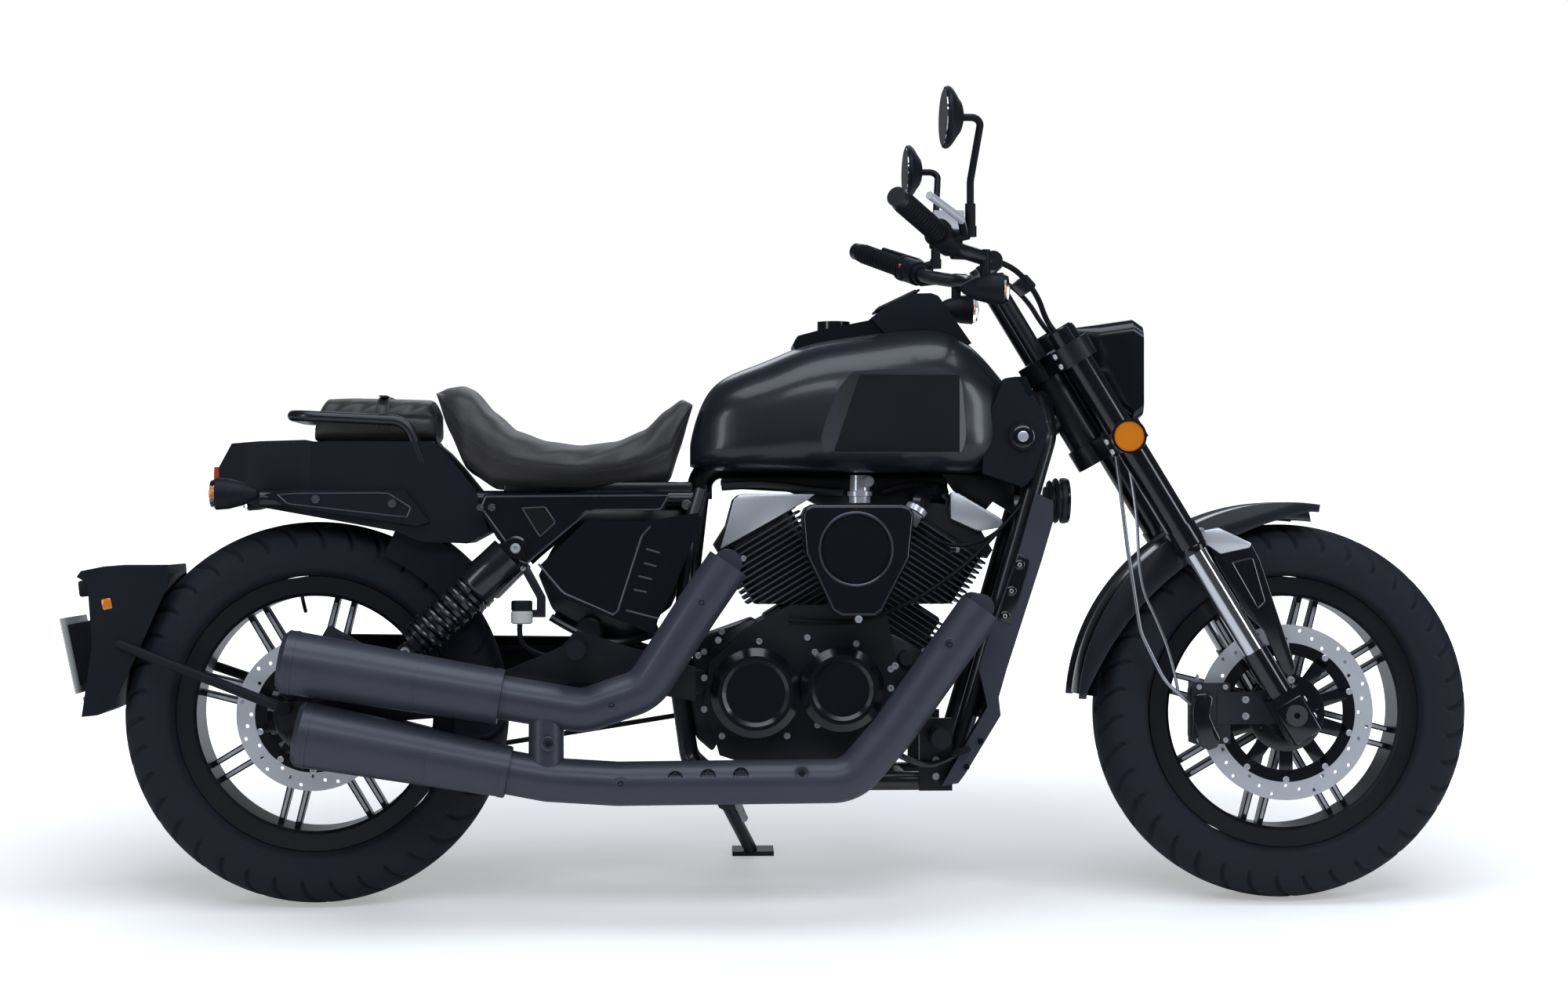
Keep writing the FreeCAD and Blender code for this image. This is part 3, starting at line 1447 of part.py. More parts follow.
def tyre_hugger():
    outer, inner, flap = (rear_radius + reach for reach in (hugger_gap, hugger_gap - hugger_thick, -hugger_flap))
    half, wall = hugger_half_width, hugger_wall
    profile = [Vec(flap, 0, half), Vec(outer, 0, half), Vec(outer, 0, -half), Vec(flap, 0, -half),
               Vec(flap, 0, wall - half), Vec(inner, 0, wall - half), Vec(inner, 0, half - wall),
               Vec(flap, 0, half - wall)]
    section = Part.Face(Part.makePolygon(profile + profile[:1]))
    skin = section.revolve(Vec(), along_z, hugger_high_deg - hugger_low_deg)
    skin.rotate(Vec(), along_x, -90)
    skin.rotate(Vec(), along_y, -hugger_high_deg)
    skin.translate(rear_axle)
    return skin


def rear_body():
    side = slab(scaled(tail_shares, tail_back, tail_low, tail_length, tail_height), -tail_half_width,
                tail_half_width)
    plan = deck(both_sides(tail_plan_shares, tail_back, tail_length, tail_half_width), tail_low,
                pillion_low + pillion_height)
    body = side.common(plan)
    body = body.cut(wheel_clearance(tail_tyre_gap, rear_tyre_width / 2 + tail_tyre_gap / 2))
    body = fused([body, tyre_hugger()])
    for way in (left, right):
        rail = rod(Vec(tail_back + frame_bend - fit_gap, way * seat_rail_half_width, seat_rail_z),
                   Vec(seat_joint_x, way * seat_rail_half_width, seat_rail_z), seat_rail_radius + fit_gap)
        body = body.cut(rail)
    body = body.cut(cross_tube(shock_top_x, seat_rail_z, seat_rail_half_width, seat_rail_radius + fit_gap))
    return body.cut(pillion_pad())


def tail_lamp():
    return Part.makeBox(tail_lamp_thick, tail_half_width * 0.9, tail_height * 0.24,
                        Vec(tail_back - tail_lamp_thick, -tail_half_width * 0.45,
                            tail_low + tail_height * 0.48))


def rear_signal_spot(side):
    return Vec(rear_signal_x, side * rear_signal_y, rear_signal_z)


def rear_signals():
    tail = rear_body()
    bodies = []
    for side in (left, right):
        foot = rear_signal_spot(side) + along_x * signal_length * 0.6
        stalk = rod(foot, Vec(foot.x, 0, foot.z), signal_stalk_radius).cut(tail)
        outer = max(stalk.Solids, key=lambda solid: side * solid.CenterOfMass.y)
        bodies.append(fused([bullet(rear_signal_spot(side), along_x * -1, False), outer]))
    return Part.makeCompound(bodies)


def rear_lenses():
    return Part.makeCompound([bullet(rear_signal_spot(side), along_x * -1, True) for side in (left, right)]
                             + [tail_lamp()])


def grab_rail():
    high = pillion_low + rail_rise
    half = [Vec(shock_top_x * 0.54, rail_half_width, tail_low + tail_height * 0.75),
            Vec(shock_top_x * 0.46, rail_half_width, high - rail_radius),
            Vec(pillion_back - rail_bend, rail_half_width, high)]
    route = half + [Vec(spot.x, -spot.y, spot.z) for spot in reversed(half)]
    return max(tube(route, rail_radius, rail_bend).cut(rear_body()).Solids, key=lambda solid: solid.Volume)


def mudguard_stay(side):
    outline = scaled(strut_shares, strut_back, strut_low, strut_length, strut_height)
    return side_slab(outline, tail_half_width + fit_gap, tail_half_width + fit_gap + strut_thick, side)


def shock_space(side, gap):
    top = Vec(shock_top_x, side * shock_spread, shock_top_z)
    low = Vec(shock_low_x, side * shock_spread, shock_low_z)
    up = (top - low).normalize()
    return rod(low, top - up * (shock_eye_radius - gap), can_radius + gap)


def subframe_plate(side):
    outline = scaled(plate_shares, plate_back, plate_low, plate_length, plate_height)
    solids = side_slab(outline, plate_inner, plate_outer, side).cut(shock_space(side, shroud_gap)).Solids
    return max(solids, key=lambda solid: solid.Volume)


def side_cover(side):
    outline = scaled(cover_shares, cover_back, cover_low, cover_length, cover_height)
    return side_slab(outline, cover_inner, cover_outer, side)


# Radiator and front cowls

def radiator():
    low = Vec(cradle_front_x, 0, cradle_z)
    span = Vec(down_top_x, 0, down_top_z) - low
    ahead = along_y.cross(span).normalize()
    near = ahead * (frame_tube_radius + fit_gap)
    far = ahead * (frame_tube_radius + fit_gap + core_thick)
    corners = [low + span * share + way for share, way in zip(core_reach_shares, (near, near, far, far))]
    half = shroud_inner - fit_gap
    return slab([(corner.x, corner.z) for corner in corners], -half, half)


def radiator_shroud(side):
    outline = scaled(shroud_shares, shroud_back, shroud_low, shroud_length, shroud_height)
    return side_slab(outline, shroud_inner, shroud_outer, side)


def front_cowl(side):
    outline = scaled(cowl_shares, cowl_back, cowl_low, cowl_length, cowl_height)
    body = side_slab(outline, cowl_inner, cowl_outer, side).cut(tank_form(fit_gap))
    body = body.cut(tube(down_route(side), frame_tube_radius + fit_gap, frame_bend / 2))
    yoke_low = upper_yoke_place - yoke_thick / 2 - steer_room
    body = body.cut(turned_leg(yoke_low, upper_yoke_place + overrun, side, yoke_boss_radius + steer_room))
    body = body.cut(turned_leg(lower_yoke_place, upper_yoke_place, side, collar_radius + steer_room))
    cap = rod(Vec(cowl_cap_x, side * cowl_outer, cowl_cap_z),
              Vec(cowl_cap_x, side * (cowl_outer + cowl_cap_height), cowl_cap_z), cowl_cap_radius)
    return fused([body, cap])


def horn():
    return rod(Vec(horn_x, 0, horn_z), Vec(horn_x + horn_depth, 0, horn_z), horn_radius)


# Plate holder

def tilted_panel(thick, width, height, start):
    panel = Part.makeBox(thick, width, height, Vec(start, -width / 2, -height / 2))
    panel.rotate(Vec(), along_y, -number_plate_tilt_deg)
    panel.translate(Vec(number_plate_x, 0, number_plate_z))
    return panel


def plate_holder():
    outline = scaled(holder_shares, holder_back, holder_low, holder_length, holder_height)
    body = slab(outline, -holder_half_width, holder_half_width)
    body = fused([body, tilted_panel(plate_pad_thick, plate_pad_width, plate_pad_height, number_plate_thick)])
    body = body.cut(wheel_clearance(holder_tyre_gap, holder_half_width - holder_wall))
    arms = []
    face = arm_spread + arm_width / 2 + fit_gap
    for side in (left, right):
        end = Vec(holder_back + holder_length * 0.45, side * (holder_half_width - holder_wall / 2),
                  holder_low + holder_height * 0.48)
        start = Vec(holder_tube_x, side * (face + holder_pad_length / 2), holder_tube_z)
        arms.append(rod(start, end, holder_tube_radius))
        foot = Vec(start.x, side * face, start.z)
        arms.append(rod(foot, foot + along_y * side * holder_pad_length, holder_pad_radius))
    return fused([body] + arms)


def number_plate():
    return tilted_panel(number_plate_thick, number_plate_width, number_plate_height, 0)


def caliper(axle, disc_radius, face, angle):
    turn = math.radians(angle)
    out = Vec(math.cos(turn), 0, math.sin(turn))
    middle = axle + out * (disc_radius - caliper_height / 2 + caliper_corner) - along_y * (face + disc_thick / 2)
    box = Part.makeBox(caliper_height, caliper_width, caliper_length,
                       Vec(-caliper_height / 2, -caliper_width / 2, -caliper_length / 2))
    box.Placement = FreeCAD.Placement(middle, FreeCAD.Rotation(along_y, -angle))
    slot = rod(axle - along_y * (face - pad_gap), axle - along_y * (face + disc_thick + pad_gap),
               disc_radius + pad_gap)
    return box.cut(slot)


def front_caliper():
    body = caliper(front_axle, front_disc_radius, front_hub_width / 2, 180)
    outer = leg_spread - leg_clamp_width / 2 - fit_gap
    middle = front_axle - along_x * (axle_head_radius + fit_gap)
    outline = [(middle.x, middle.z - axle_head_radius), (middle.x, middle.z + axle_head_radius * 2),
               (middle.x - bracket_reach, middle.z + axle_head_radius * 2),
               (middle.x - bracket_reach, middle.z - axle_head_radius)]
    return fused([body, side_slab(outline, outer - caliper_arm * 0.7, outer, right)])


def rear_caliper():
    body = caliper(rear_axle, rear_disc_radius, rear_hub_width / 2, 60)
    outer = arm_spread - arm_width / 2 - fit_gap
    start = axle_head_radius * 1.4
    outline = [(start, rear_radius), (start + leg_clamp_size, rear_radius),
               (start + leg_clamp_size, rear_radius + rear_disc_radius * 0.7),
               (start, rear_radius + rear_disc_radius * 0.7)]
    return fused([body, side_slab(outline, outer - caliper_arm, outer, right)])


def footrest_hanger(side):
    outer = pipe_line - upper_front_radius - hanger_clear
    inner = outer - hanger_thick
    boss = rod(Vec(pivot_x, side * (pivot_boss_line + fit_gap), pivot_z),
               Vec(pivot_x, side * outer, pivot_z), hanger_low * 0.8)
    outline = [(pivot_x + hanger_low, pivot_z - hanger_low), (pivot_x + hanger_low, pivot_z + hanger_low),
               (passenger_peg_x, passenger_peg_z + hanger_low), (passenger_peg_x - hanger_low, passenger_peg_z),
               (upper_front_x - hanger_low, upper_front_z + hanger_low),
               (upper_front_x - hanger_low, upper_front_z - hanger_low),
               (passenger_peg_x, passenger_peg_z - hanger_low * 2)]
    plate = side_slab(outline, inner, outer, side)
    peg = rod(Vec(passenger_peg_x, side * inner, passenger_peg_z),
              Vec(passenger_peg_x, side * (outer + peg_length), passenger_peg_z), peg_radius)
    return fused([boss, plate, peg])


def rider_peg(side):
    inner = cradle_half_width + frame_tube_radius + fit_gap
    outer = inner + hanger_thick
    outline = [(rider_peg_x - hanger_low, cradle_z - rider_hanger_drop),
               (rider_peg_x + hanger_low, cradle_z - rider_hanger_drop),
               (rider_peg_x + hanger_low, rider_peg_z + hanger_low),
               (rider_peg_x - hanger_low, rider_peg_z + hanger_low)]
    plate = side_slab(outline, inner, outer, side)
    peg = rod(Vec(rider_peg_x, side * inner, rider_peg_z),
              Vec(rider_peg_x, side * (outer + peg_length), rider_peg_z), peg_radius)
    return fused([plate, peg])


def mudguard_bracket(side):
    inner = guard_half_width + fit_gap
    outline = scaled(guard_plate_shares, guard_plate_back, guard_plate_low, guard_plate_length,
                     guard_plate_height)
    plate = side_slab(outline, inner, inner + guard_plate_thick, side)
    foot = leg_point(lug_top * 0.8, side)
    boss = rod(Vec(foot.x, side * inner, foot.z), Vec(foot.x, side * leg_spread, foot.z), hub_reach)
    lug = rod(leg_point(0, side), leg_point(lug_top, side), lug_radius + fit_gap)
    return fused([plate, boss]).cut(lug)


def pair(make):
    return Part.makeCompound([make(left), make(right)])


def engine_covers():
    return Part.makeCompound([clutch_cover(), crank_cover(), dynamo_cover()])


def footrests():
    return Part.makeCompound([footrest_hanger(left), footrest_hanger(right), rider_peg(left), rider_peg(right)])


def bar_control(side):
    tip, inward = grip_line(side)
    start = tip + inward * (grip_length + grip_flange + fit_gap)
    middle = start + inward * switch_length / 2
    ahead = (along_x - inward * along_x.dot(inward)).normalize()
    above = (along_z - inward * along_z.dot(inward)).normalize()
    pivot = middle + ahead * lever_ahead * 0.7
    lever = tube([pivot, pivot - inward * lever_length * 0.35 + ahead * lever_ahead * 0.4,
                  pivot - inward * lever_length + ahead * lever_ahead * 0.25], lever_radius, lever_bend)
    root = mirror_root(side)
    solids = [rod(start, start + inward * switch_length, switch_radius),
              rod(middle, pivot + ahead * lever_radius, lever_radius * 1.6), lever,
              rod(middle, root - along_z * mirror_foot_radius, mirror_foot_radius),
              rod(root - along_z * mirror_foot_radius * 2, root, mirror_foot_radius * 1.2)]
    if side == right:
        well = Part.makeBox(well_length, well_width, well_height, Vec(-well_length / 2, -well_width / 2, 0))
        well.translate(middle + above * switch_radius * 0.7 + inward * well_shift)
        solids.append(well)
    bore = rod(tip, tip + inward * (grip_length + switch_length * 3), bar_radius + fit_gap)
    return fused(solids).cut(bore).cut(tube(bar_route(), bar_radius + fit_gap, bar_bend))


def brake_hose():
    return tube([Vec(*spot) for spot in hose_route], hose_radius, hose_bend).cut(yokes())


pieces = {
    "front_tyre": front_tyre, "front_wheel_rim": front_wheel, "front_brake_disc": front_disc,
    "rear_tyre": rear_tyre, "rear_wheel_rim": rear_wheel, "rear_brake_disc": rear_disc,
    "rear_belt_pulley": rear_pulley, "front_axle": front_axle_bolt,
    "fork_legs": lambda: Part.makeCompound([fork_tubes(), fork_lugs()]),
    "fork_stanchions": fork_sliders, "fork_yokes": yokes, "handlebar": handlebar,
    "grips": grips, "bar_controls": lambda: pair(bar_control), "mirrors": lambda: pair(mirror),
    "headlight_shell": headlight_shell, "front_signals": front_signals,
    "front_lenses": lambda: Part.makeCompound([headlight_lens(), front_signal_lenses()]),
    "side_reflectors": side_reflectors, "front_mudguard": front_mudguard,
    "mudguard_brackets": lambda: pair(mudguard_bracket), "front_caliper": front_caliper,
    "brake_hose": brake_hose,
    "main_frame": main_frame, "side_stand": side_stand, "swingarm": swingarm, "rear_axle": rear_axle_bolt,
    "shocks": lambda: pair(shock), "drive_belt": drive_belt, "belt_guard": belt_guard,
    "cylinders": lambda: pair(cylinder), "head_covers": lambda: pair(head_cover), "crankcase": crankcase,
    "engine_covers": engine_covers, "air_cleaner": air_cleaner, "intake": intake,
    "header_shields": header_shields, "mufflers": mufflers, "fuel_tank": fuel_tank,
    "tank_console": tank_console, "instrument_hood": instrument_hood, "rider_seat": rider_seat,
    "pillion_pad": pillion_pad, "rear_body": rear_body, "rear_signals": rear_signals,
    "rear_lenses": rear_lenses, "grab_rail": grab_rail,
    "mudguard_stays": lambda: pair(mudguard_stay), "subframe_plates": lambda: pair(subframe_plate),
    "side_covers": lambda: pair(side_cover), "radiator": radiator,
    "radiator_shrouds": lambda: pair(radiator_shroud), "front_cowls": lambda: pair(front_cowl),
    "horn": horn, "plate_holder": plate_holder, "number_plate": number_plate, "rear_caliper": rear_caliper,
    "footrests": footrests,
}

os.makedirs("parts", exist_ok=True)
leaned = {}
for name, make in pieces.items():
    shape = make()
    shape.rotate(Vec(), along_x, -lean_deg)
    leaned[name] = shape
reach = FreeCAD.BoundBox()
for shape in leaned.values():
    reach.add(shape.optimalBoundingBox(False))
ground = -tyre_drop
shift = Vec(-reach.Center.x, -reach.Center.y, -ground)
for name, shape in leaned.items():
    shape.translate(shift)
    print(name, len(shape.Solids), shape.isValid(), round(shape.Volume))
    shape.exportStep("parts/" + name + ".step")


def placed(point):
    spot = FreeCAD.Rotation(along_x, -lean_deg).multVec(point) + shift
    return [round(value, 3) for value in spot]


def pointed(axis):
    way = FreeCAD.Rotation(along_x, -lean_deg).multVec(axis)
    return [round(value, 6) for value in way]


print("extent", reach.XLength, reach.YLength, reach.ZMax - ground, "lowest", reach.ZMin - ground)
print("steering", placed(stem_point(0)), pointed(fork_up))
print("front wheel", placed(front_axle), pointed(along_y))
print("rear wheel", placed(rear_axle), pointed(along_y))
print("side stand", placed(stand_pivot), pointed(stand_axis))
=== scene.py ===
import math

import bmesh
import bpy
from mathutils import Euler, Matrix, Vector


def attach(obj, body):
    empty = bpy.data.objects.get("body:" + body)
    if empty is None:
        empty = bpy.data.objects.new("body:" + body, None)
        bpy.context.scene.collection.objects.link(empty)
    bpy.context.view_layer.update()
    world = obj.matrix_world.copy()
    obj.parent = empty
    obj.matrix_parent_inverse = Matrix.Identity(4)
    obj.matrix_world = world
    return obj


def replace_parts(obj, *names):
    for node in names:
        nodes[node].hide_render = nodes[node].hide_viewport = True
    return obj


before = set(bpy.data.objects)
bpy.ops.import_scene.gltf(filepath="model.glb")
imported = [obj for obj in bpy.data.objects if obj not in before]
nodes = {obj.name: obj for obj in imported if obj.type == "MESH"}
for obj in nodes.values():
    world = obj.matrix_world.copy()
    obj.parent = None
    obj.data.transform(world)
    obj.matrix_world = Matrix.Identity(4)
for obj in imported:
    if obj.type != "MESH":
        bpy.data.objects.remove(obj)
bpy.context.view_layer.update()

# Everything below is drawn in millimetres on the upright machine: x forward from the rear axle,
# y to the rider's left, z up from the ground. leaned puts that drawing on the side stand.
stance = {"lean": 9, "shift": (-0.725763, -0.168301, 0.000862)}
leanOnly = Matrix.Translation(stance["shift"]) @ Matrix.Rotation(-math.radians(stance["lean"]), 4, "X")
leaned = leanOnly @ Matrix.Scale(0.001, 4)
upright = leaned.inverted()

photoView = {"eye": (741.3, 0, 605), "reach": 4500, "swing": 2.5, "rise": 0.545, "lens": 64.39}


def placed(name, data):
    piece = bpy.data.objects.new(name, data)
    bpy.context.collection.objects.link(piece)
    return piece


def placeCamera():
    swing, rise = math.radians(photoView["swing"]), math.radians(photoView["rise"])
    eye = Vector(photoView["eye"]) - Vector((math.sin(swing), math.cos(swing), 0)) * photoView["reach"]
    gaze = Vector((math.sin(swing) * math.cos(rise), math.cos(swing) * math.cos(rise), math.sin(rise)))
    glass = bpy.data.cameras.new("photoView")
    glass.sensor_width = 36
    glass.lens = photoView["lens"]
    glass.clip_end = 60
    camera = placed("photoView", glass)
    turn = gaze.to_track_quat("-Z", "Y").to_matrix().to_4x4()
    camera.matrix_world = leanOnly @ Matrix.Translation(eye * 0.001) @ turn
    bpy.context.scene.camera = camera
    bpy.context.scene.view_settings.view_transform = "Standard"


placeCamera()
print("camera placed")

# Shader groups that several finishes share


def wire(tree, start, output, end, entry):
    tree.links.new(start.outputs[output], end.inputs[entry])


def give(node, **values):
    for label, value in values.items():
        node.inputs[label.replace("_", " ")].default_value = value


def groupOf(name, inputs, outputs):
    tree = bpy.data.node_groups.new(name, "ShaderNodeTree")
    for label, kind, value in inputs:
        socket = tree.interface.new_socket(name=label, in_out="INPUT", socket_type=kind)
        socket.default_value = value
    for label, kind in outputs:
        tree.interface.new_socket(name=label, in_out="OUTPUT", socket_type=kind)
    return tree, tree.nodes.new("NodeGroupInput"), tree.nodes.new("NodeGroupOutput")


def makeSurfaceGrain():
    tree, given, result = groupOf("surfaceGrain", [
        ("Base", "NodeSocketColor", (0.05, 0.05, 0.05, 1)), ("Dust", "NodeSocketColor", (0.1, 0.1, 0.1, 1)),
        ("Dust Amount", "NodeSocketFloat", 0.2), ("Grain Scale", "NodeSocketFloat", 400),
        ("Rough Low", "NodeSocketFloat", 0.3), ("Rough High", "NodeSocketFloat", 0.4)],
        [("Color", "NodeSocketColor"), ("Roughness", "NodeSocketFloat"), ("Grain", "NodeSocketFloat")])
    new = tree.nodes.new
    place = new("ShaderNodeTexCoord")
    broad, fine = new("ShaderNodeTexNoise"), new("ShaderNodeTexNoise")
    give(broad, Scale=7, Detail=6)
    give(fine, Detail=2)
    wire(tree, place, "Object", broad, "Vector")
    wire(tree, place, "Object", fine, "Vector")
    wire(tree, given, "Grain Scale", fine, "Scale")
    share = new("ShaderNodeMath")
    share.operation = "MULTIPLY"
    wire(tree, broad, "Fac", share, 0)
    wire(tree, given, "Dust Amount", share, 1)
    blend = new("ShaderNodeMix")
    blend.data_type = "RGBA"
    wire(tree, share, 0, blend, "Factor")
    wire(tree, given, "Base", blend, "A")
    wire(tree, given, "Dust", blend, "B")
    wire(tree, blend, "Result", result, "Color")
    spread = new("ShaderNodeMapRange")
    wire(tree, broad, "Fac", spread, "Value")
    give(spread, From_Min=0.3, From_Max=0.7)
    wire(tree, given, "Rough Low", spread, "To Min")
    wire(tree, given, "Rough High", spread, "To Max")
    wire(tree, spread, "Result", result, "Roughness")
    wire(tree, fine, "Fac", result, "Grain")
    return tree


def makeHideGrain():
    tree, given, result = groupOf("hideGrain", [("Scale", "NodeSocketFloat", 600)], [("Height", "NodeSocketFloat")])
    new = tree.nodes.new
    place = new("ShaderNodeTexCoord")
    cells, folds = new("ShaderNodeTexVoronoi"), new("ShaderNodeTexNoise")
    cells.feature = "DISTANCE_TO_EDGE"
    give(folds, Scale=22, Detail=5, Distortion=1.2)
    wire(tree, place, "Object", cells, "Vector")
    wire(tree, place, "Object", folds, "Vector")
    wire(tree, given, "Scale", cells, "Scale")
    ridge = new("ShaderNodeMapRange")
    wire(tree, cells, "Distance", ridge, "Value")
    give(ridge, From_Max=0.25)
    both = new("ShaderNodeMath")
    both.operation = "MULTIPLY_ADD"
    both.inputs[1].default_value = 0.35
    wire(tree, ridge, "Result", both, 0)
    wire(tree, folds, "Fac", both, 2)
    wire(tree, both, 0, result, "Height")
    return tree


surfaceGrain = makeSurfaceGrain()
hideGrain = makeHideGrain()


def coating(base, dust, share, rough, grain, metal=0, coat=0, relief=0):
    return dict(base=base, dust=dust, share=share, rough=rough, grain=grain, metal=metal, coat=coat, relief=relief)


# Clean colour, dusty colour, share of dust, roughness from and to, grain scale; relief in mm
finishes = {
    "tyreRubber": coating((0.011, 0.012, 0.019), (0.029, 0.031, 0.045), 0.5, (0.62, 0.78), 900, relief=0.1),
    "wheelBlack": coating((0.005, 0.005, 0.008), (0.02, 0.021, 0.028), 0.15, (0.28, 0.33), 70, coat=0.2),
    "machined": coating((0.78, 0.79, 0.84), (0.56, 0.57, 0.62), 0.35, (0.2, 0.34), 1400, metal=0.55, relief=0.02),
    "discSteel": coating((0.84, 0.85, 0.9), (0.64, 0.65, 0.7), 0.5, (0.26, 0.4), 1200, metal=0.55, relief=0.03),
    "pulleyDark": coating((0.018, 0.018, 0.024), (0.05, 0.05, 0.06), 0.3, (0.35, 0.5), 500, metal=0.6, relief=0.04),
    "chrome": coating((0.78, 0.79, 0.82), (0.62, 0.62, 0.66), 0.3, (0.06, 0.13), 600, metal=1),
    "forkGloss": coating((0.004, 0.004, 0.007), (0.014, 0.014, 0.02), 0.15, (0.16, 0.2), 70, coat=0.5),
    "frameBlack": coating((0.005, 0.005, 0.009), (0.018, 0.018, 0.026), 0.2, (0.3, 0.42), 350, coat=0.3, relief=0.03),
    "castGrey": coating((0.018, 0.019, 0.026), (0.045, 0.047, 0.058), 0.35, (0.42, 0.58), 520, metal=0.3, relief=0.07),
    "engineCase": coating((0.006, 0.006, 0.01), (0.022, 0.023, 0.03), 0.3, (0.36, 0.5), 620, metal=0.1, coat=0.1,
                          relief=0.06),
    "finEdge": coating((0.2, 0.21, 0.26), (0.06, 0.06, 0.08), 0.5, (0.26, 0.4), 900, metal=0.9, relief=0.03),
    "exhaustSlate": coating((0.044, 0.046, 0.066), (0.074, 0.077, 0.104), 0.5, (0.38, 0.5), 1500, metal=0.25,
                            coat=0.1, relief=0.05),
    "tankPaint": coating((0.012, 0.013, 0.021), (0.022, 0.024, 0.036), 0.12, (0.31, 0.35), 70, metal=0.15, coat=0.35),
    # Darker tank colour for the recessed facet: painted shade
    "tankPaintedShade": coating((0.003, 0.003, 0.006), (0.007, 0.008, 0.012), 0.12, (0.34, 0.38), 70, coat=0.15),
    "coverGloss": coating((0.004, 0.005, 0.008), (0.012, 0.013, 0.019), 0.15, (0.19, 0.22), 70, coat=0.3),
    # Lighter colour for lines along ribs, creases and panel edges: painted highlight
    "coverEdge": coating((0.03, 0.032, 0.046), (0.06, 0.062, 0.08), 0.3, (0.27, 0.31), 70, metal=0.1, coat=0.4),
    "plasticSatin": coating((0.005, 0.006, 0.011), (0.014, 0.015, 0.024), 0.25, (0.46, 0.58), 1100, relief=0.06),
    "gripRubber": coating((0.005, 0.005, 0.007), (0.018, 0.018, 0.022), 0.3, (0.6, 0.75), 1300, relief=0.1),
    "beltRubber": coating((0.008, 0.008, 0.009), (0.025, 0.025, 0.03), 0.4, (0.6, 0.75), 900, relief=0.08),
    "coverSilver": coating((0.8, 0.81, 0.86), (0.64, 0.65, 0.71), 0.4, (0.24, 0.36), 700, metal=0.45, relief=0.02),
    # Near-black fill for the insides of holes and recesses: painted shade
    "paintedHoleShade": coating((0.004, 0.004, 0.005), (0.012, 0.012, 0.012), 0.3, (0.7, 0.85), 900, relief=0.05),
    "springBlack": coating((0.005, 0.005, 0.009), (0.022, 0.022, 0.03), 0.25, (0.25, 0.29), 70, coat=0.5),
    "mirrorGlass": coating((0.8, 0.82, 0.86), (0.66, 0.68, 0.72), 0.3, (0.03, 0.06), 300, metal=1),
    "dialFace": coating((0.004, 0.005, 0.008), (0.012, 0.013, 0.018), 0.3, (0.08, 0.14), 500, coat=1),
    "plateWhite": coating((0.72, 0.72, 0.7), (0.55, 0.55, 0.53), 0.4, (0.35, 0.5), 700, coat=0.2, relief=0.03),
    "bottleWhite": coating((0.62, 0.62, 0.6), (0.5, 0.49, 0.45), 0.5, (0.35, 0.45), 600, relief=0.03),
    "amberLens": coating((0.8, 0.24, 0.01), (0.6, 0.16, 0.01), 0.4, (0.1, 0.18), 500, coat=1, relief=0.12),
    "redLens": coating((0.62, 0.06, 0.02), (0.42, 0.03, 0.02), 0.4, (0.1, 0.18), 500, coat=1, relief=0.12),
    "cableJacket": coating((0.004, 0.004, 0.006), (0.016, 0.016, 0.02), 0.3, (0.4, 0.55), 900, relief=0.04),
    "hoseSteel": coating((0.42, 0.43, 0.47), (0.2, 0.2, 0.22), 0.5, (0.25, 0.4), 2600, metal=0.9, relief=0.08),
    "radiatorCore": coating((0.01, 0.01, 0.013), (0.03, 0.03, 0.036), 0.4, (0.45, 0.6), 1500, metal=0.5, relief=0.05),
    "stitchThread": coating((0.045, 0.045, 0.048), (0.09, 0.09, 0.09), 0.4, (0.6, 0.8), 3000, relief=0.1),
}


def basicMaterial(name):
    material = bpy.data.materials.new(name)
    material.use_nodes = True
    tree = material.node_tree
    return material, tree, tree.nodes["Principled BSDF"]


def grainNode(tree, source, **values):
    grain = tree.nodes.new("ShaderNodeGroup")
    grain.node_tree = source
    give(grain, **values)
    return grain


def bumpNode(tree, shader, source, output, strength, distance):
    bump = tree.nodes.new("ShaderNodeBump")
    give(bump, Strength=strength, Distance=distance)
    wire(tree, source, output, bump, "Height")
    wire(tree, bump, "Normal", shader, "Normal")


def dusted(tree, shader, base, dust, share, rough, grain):
    node = grainNode(tree, surfaceGrain, Base=(*base, 1), Dust=(*dust, 1), Dust_Amount=share, Grain_Scale=grain,
                     Rough_Low=rough[0], Rough_High=rough[1])
    wire(tree, node, "Color", shader, "Base Color")
    wire(tree, node, "Roughness", shader, "Roughness")
    return node


def makeFinish(name):
    values = finishes[name]
    material, tree, shader = basicMaterial(name)
    grain = dusted(tree, shader, *(values[key] for key in ("base", "dust", "share", "rough", "grain")))
    give(shader, Metallic=values["metal"], Coat_Weight=values["coat"], Coat_Roughness=0.12,
         Specular_IOR_Level=0.5 if values["metal"] or values["coat"] else 0.22)
    if values["relief"]:
        bumpNode(tree, shader, grain, "Grain", 0.6, values["relief"] / 1000)
    return material


def makeLeather():
    material, tree, shader = basicMaterial("seatLeather")
    dusted(tree, shader, (0.017, 0.015, 0.015), (0.060, 0.052, 0.050), 0.55, (0.38, 0.56), 700)
    give(shader, Sheen_Weight=0.15)
    bumpNode(tree, shader, grainNode(tree, hideGrain, Scale=520), "Height", 0.55, 0.0006)
    return material


def makeGlass(name, tint, rough):
    material, tree, shader = basicMaterial(name)
    give(shader, Base_Color=(*tint, 1), Roughness=rough, Transmission_Weight=1, IOR=1.45)
    bumpNode(tree, shader, grainNode(tree, surfaceGrain, Grain_Scale=220), "Grain", 0.3, 0.0002)
    return material


made = {"seatLeather": makeLeather(), "clearGlass": makeGlass("clearGlass", (0.95, 0.97, 1.0), 0.04),
        "amberGlass": makeGlass("amberGlass", (1.0, 0.45, 0.05), 0.08)}


def finishOf(name):
    if name not in made:
        made[name] = makeFinish(name)
    return made[name]


# Ways to shape a piece, all in the drawing's millimetres


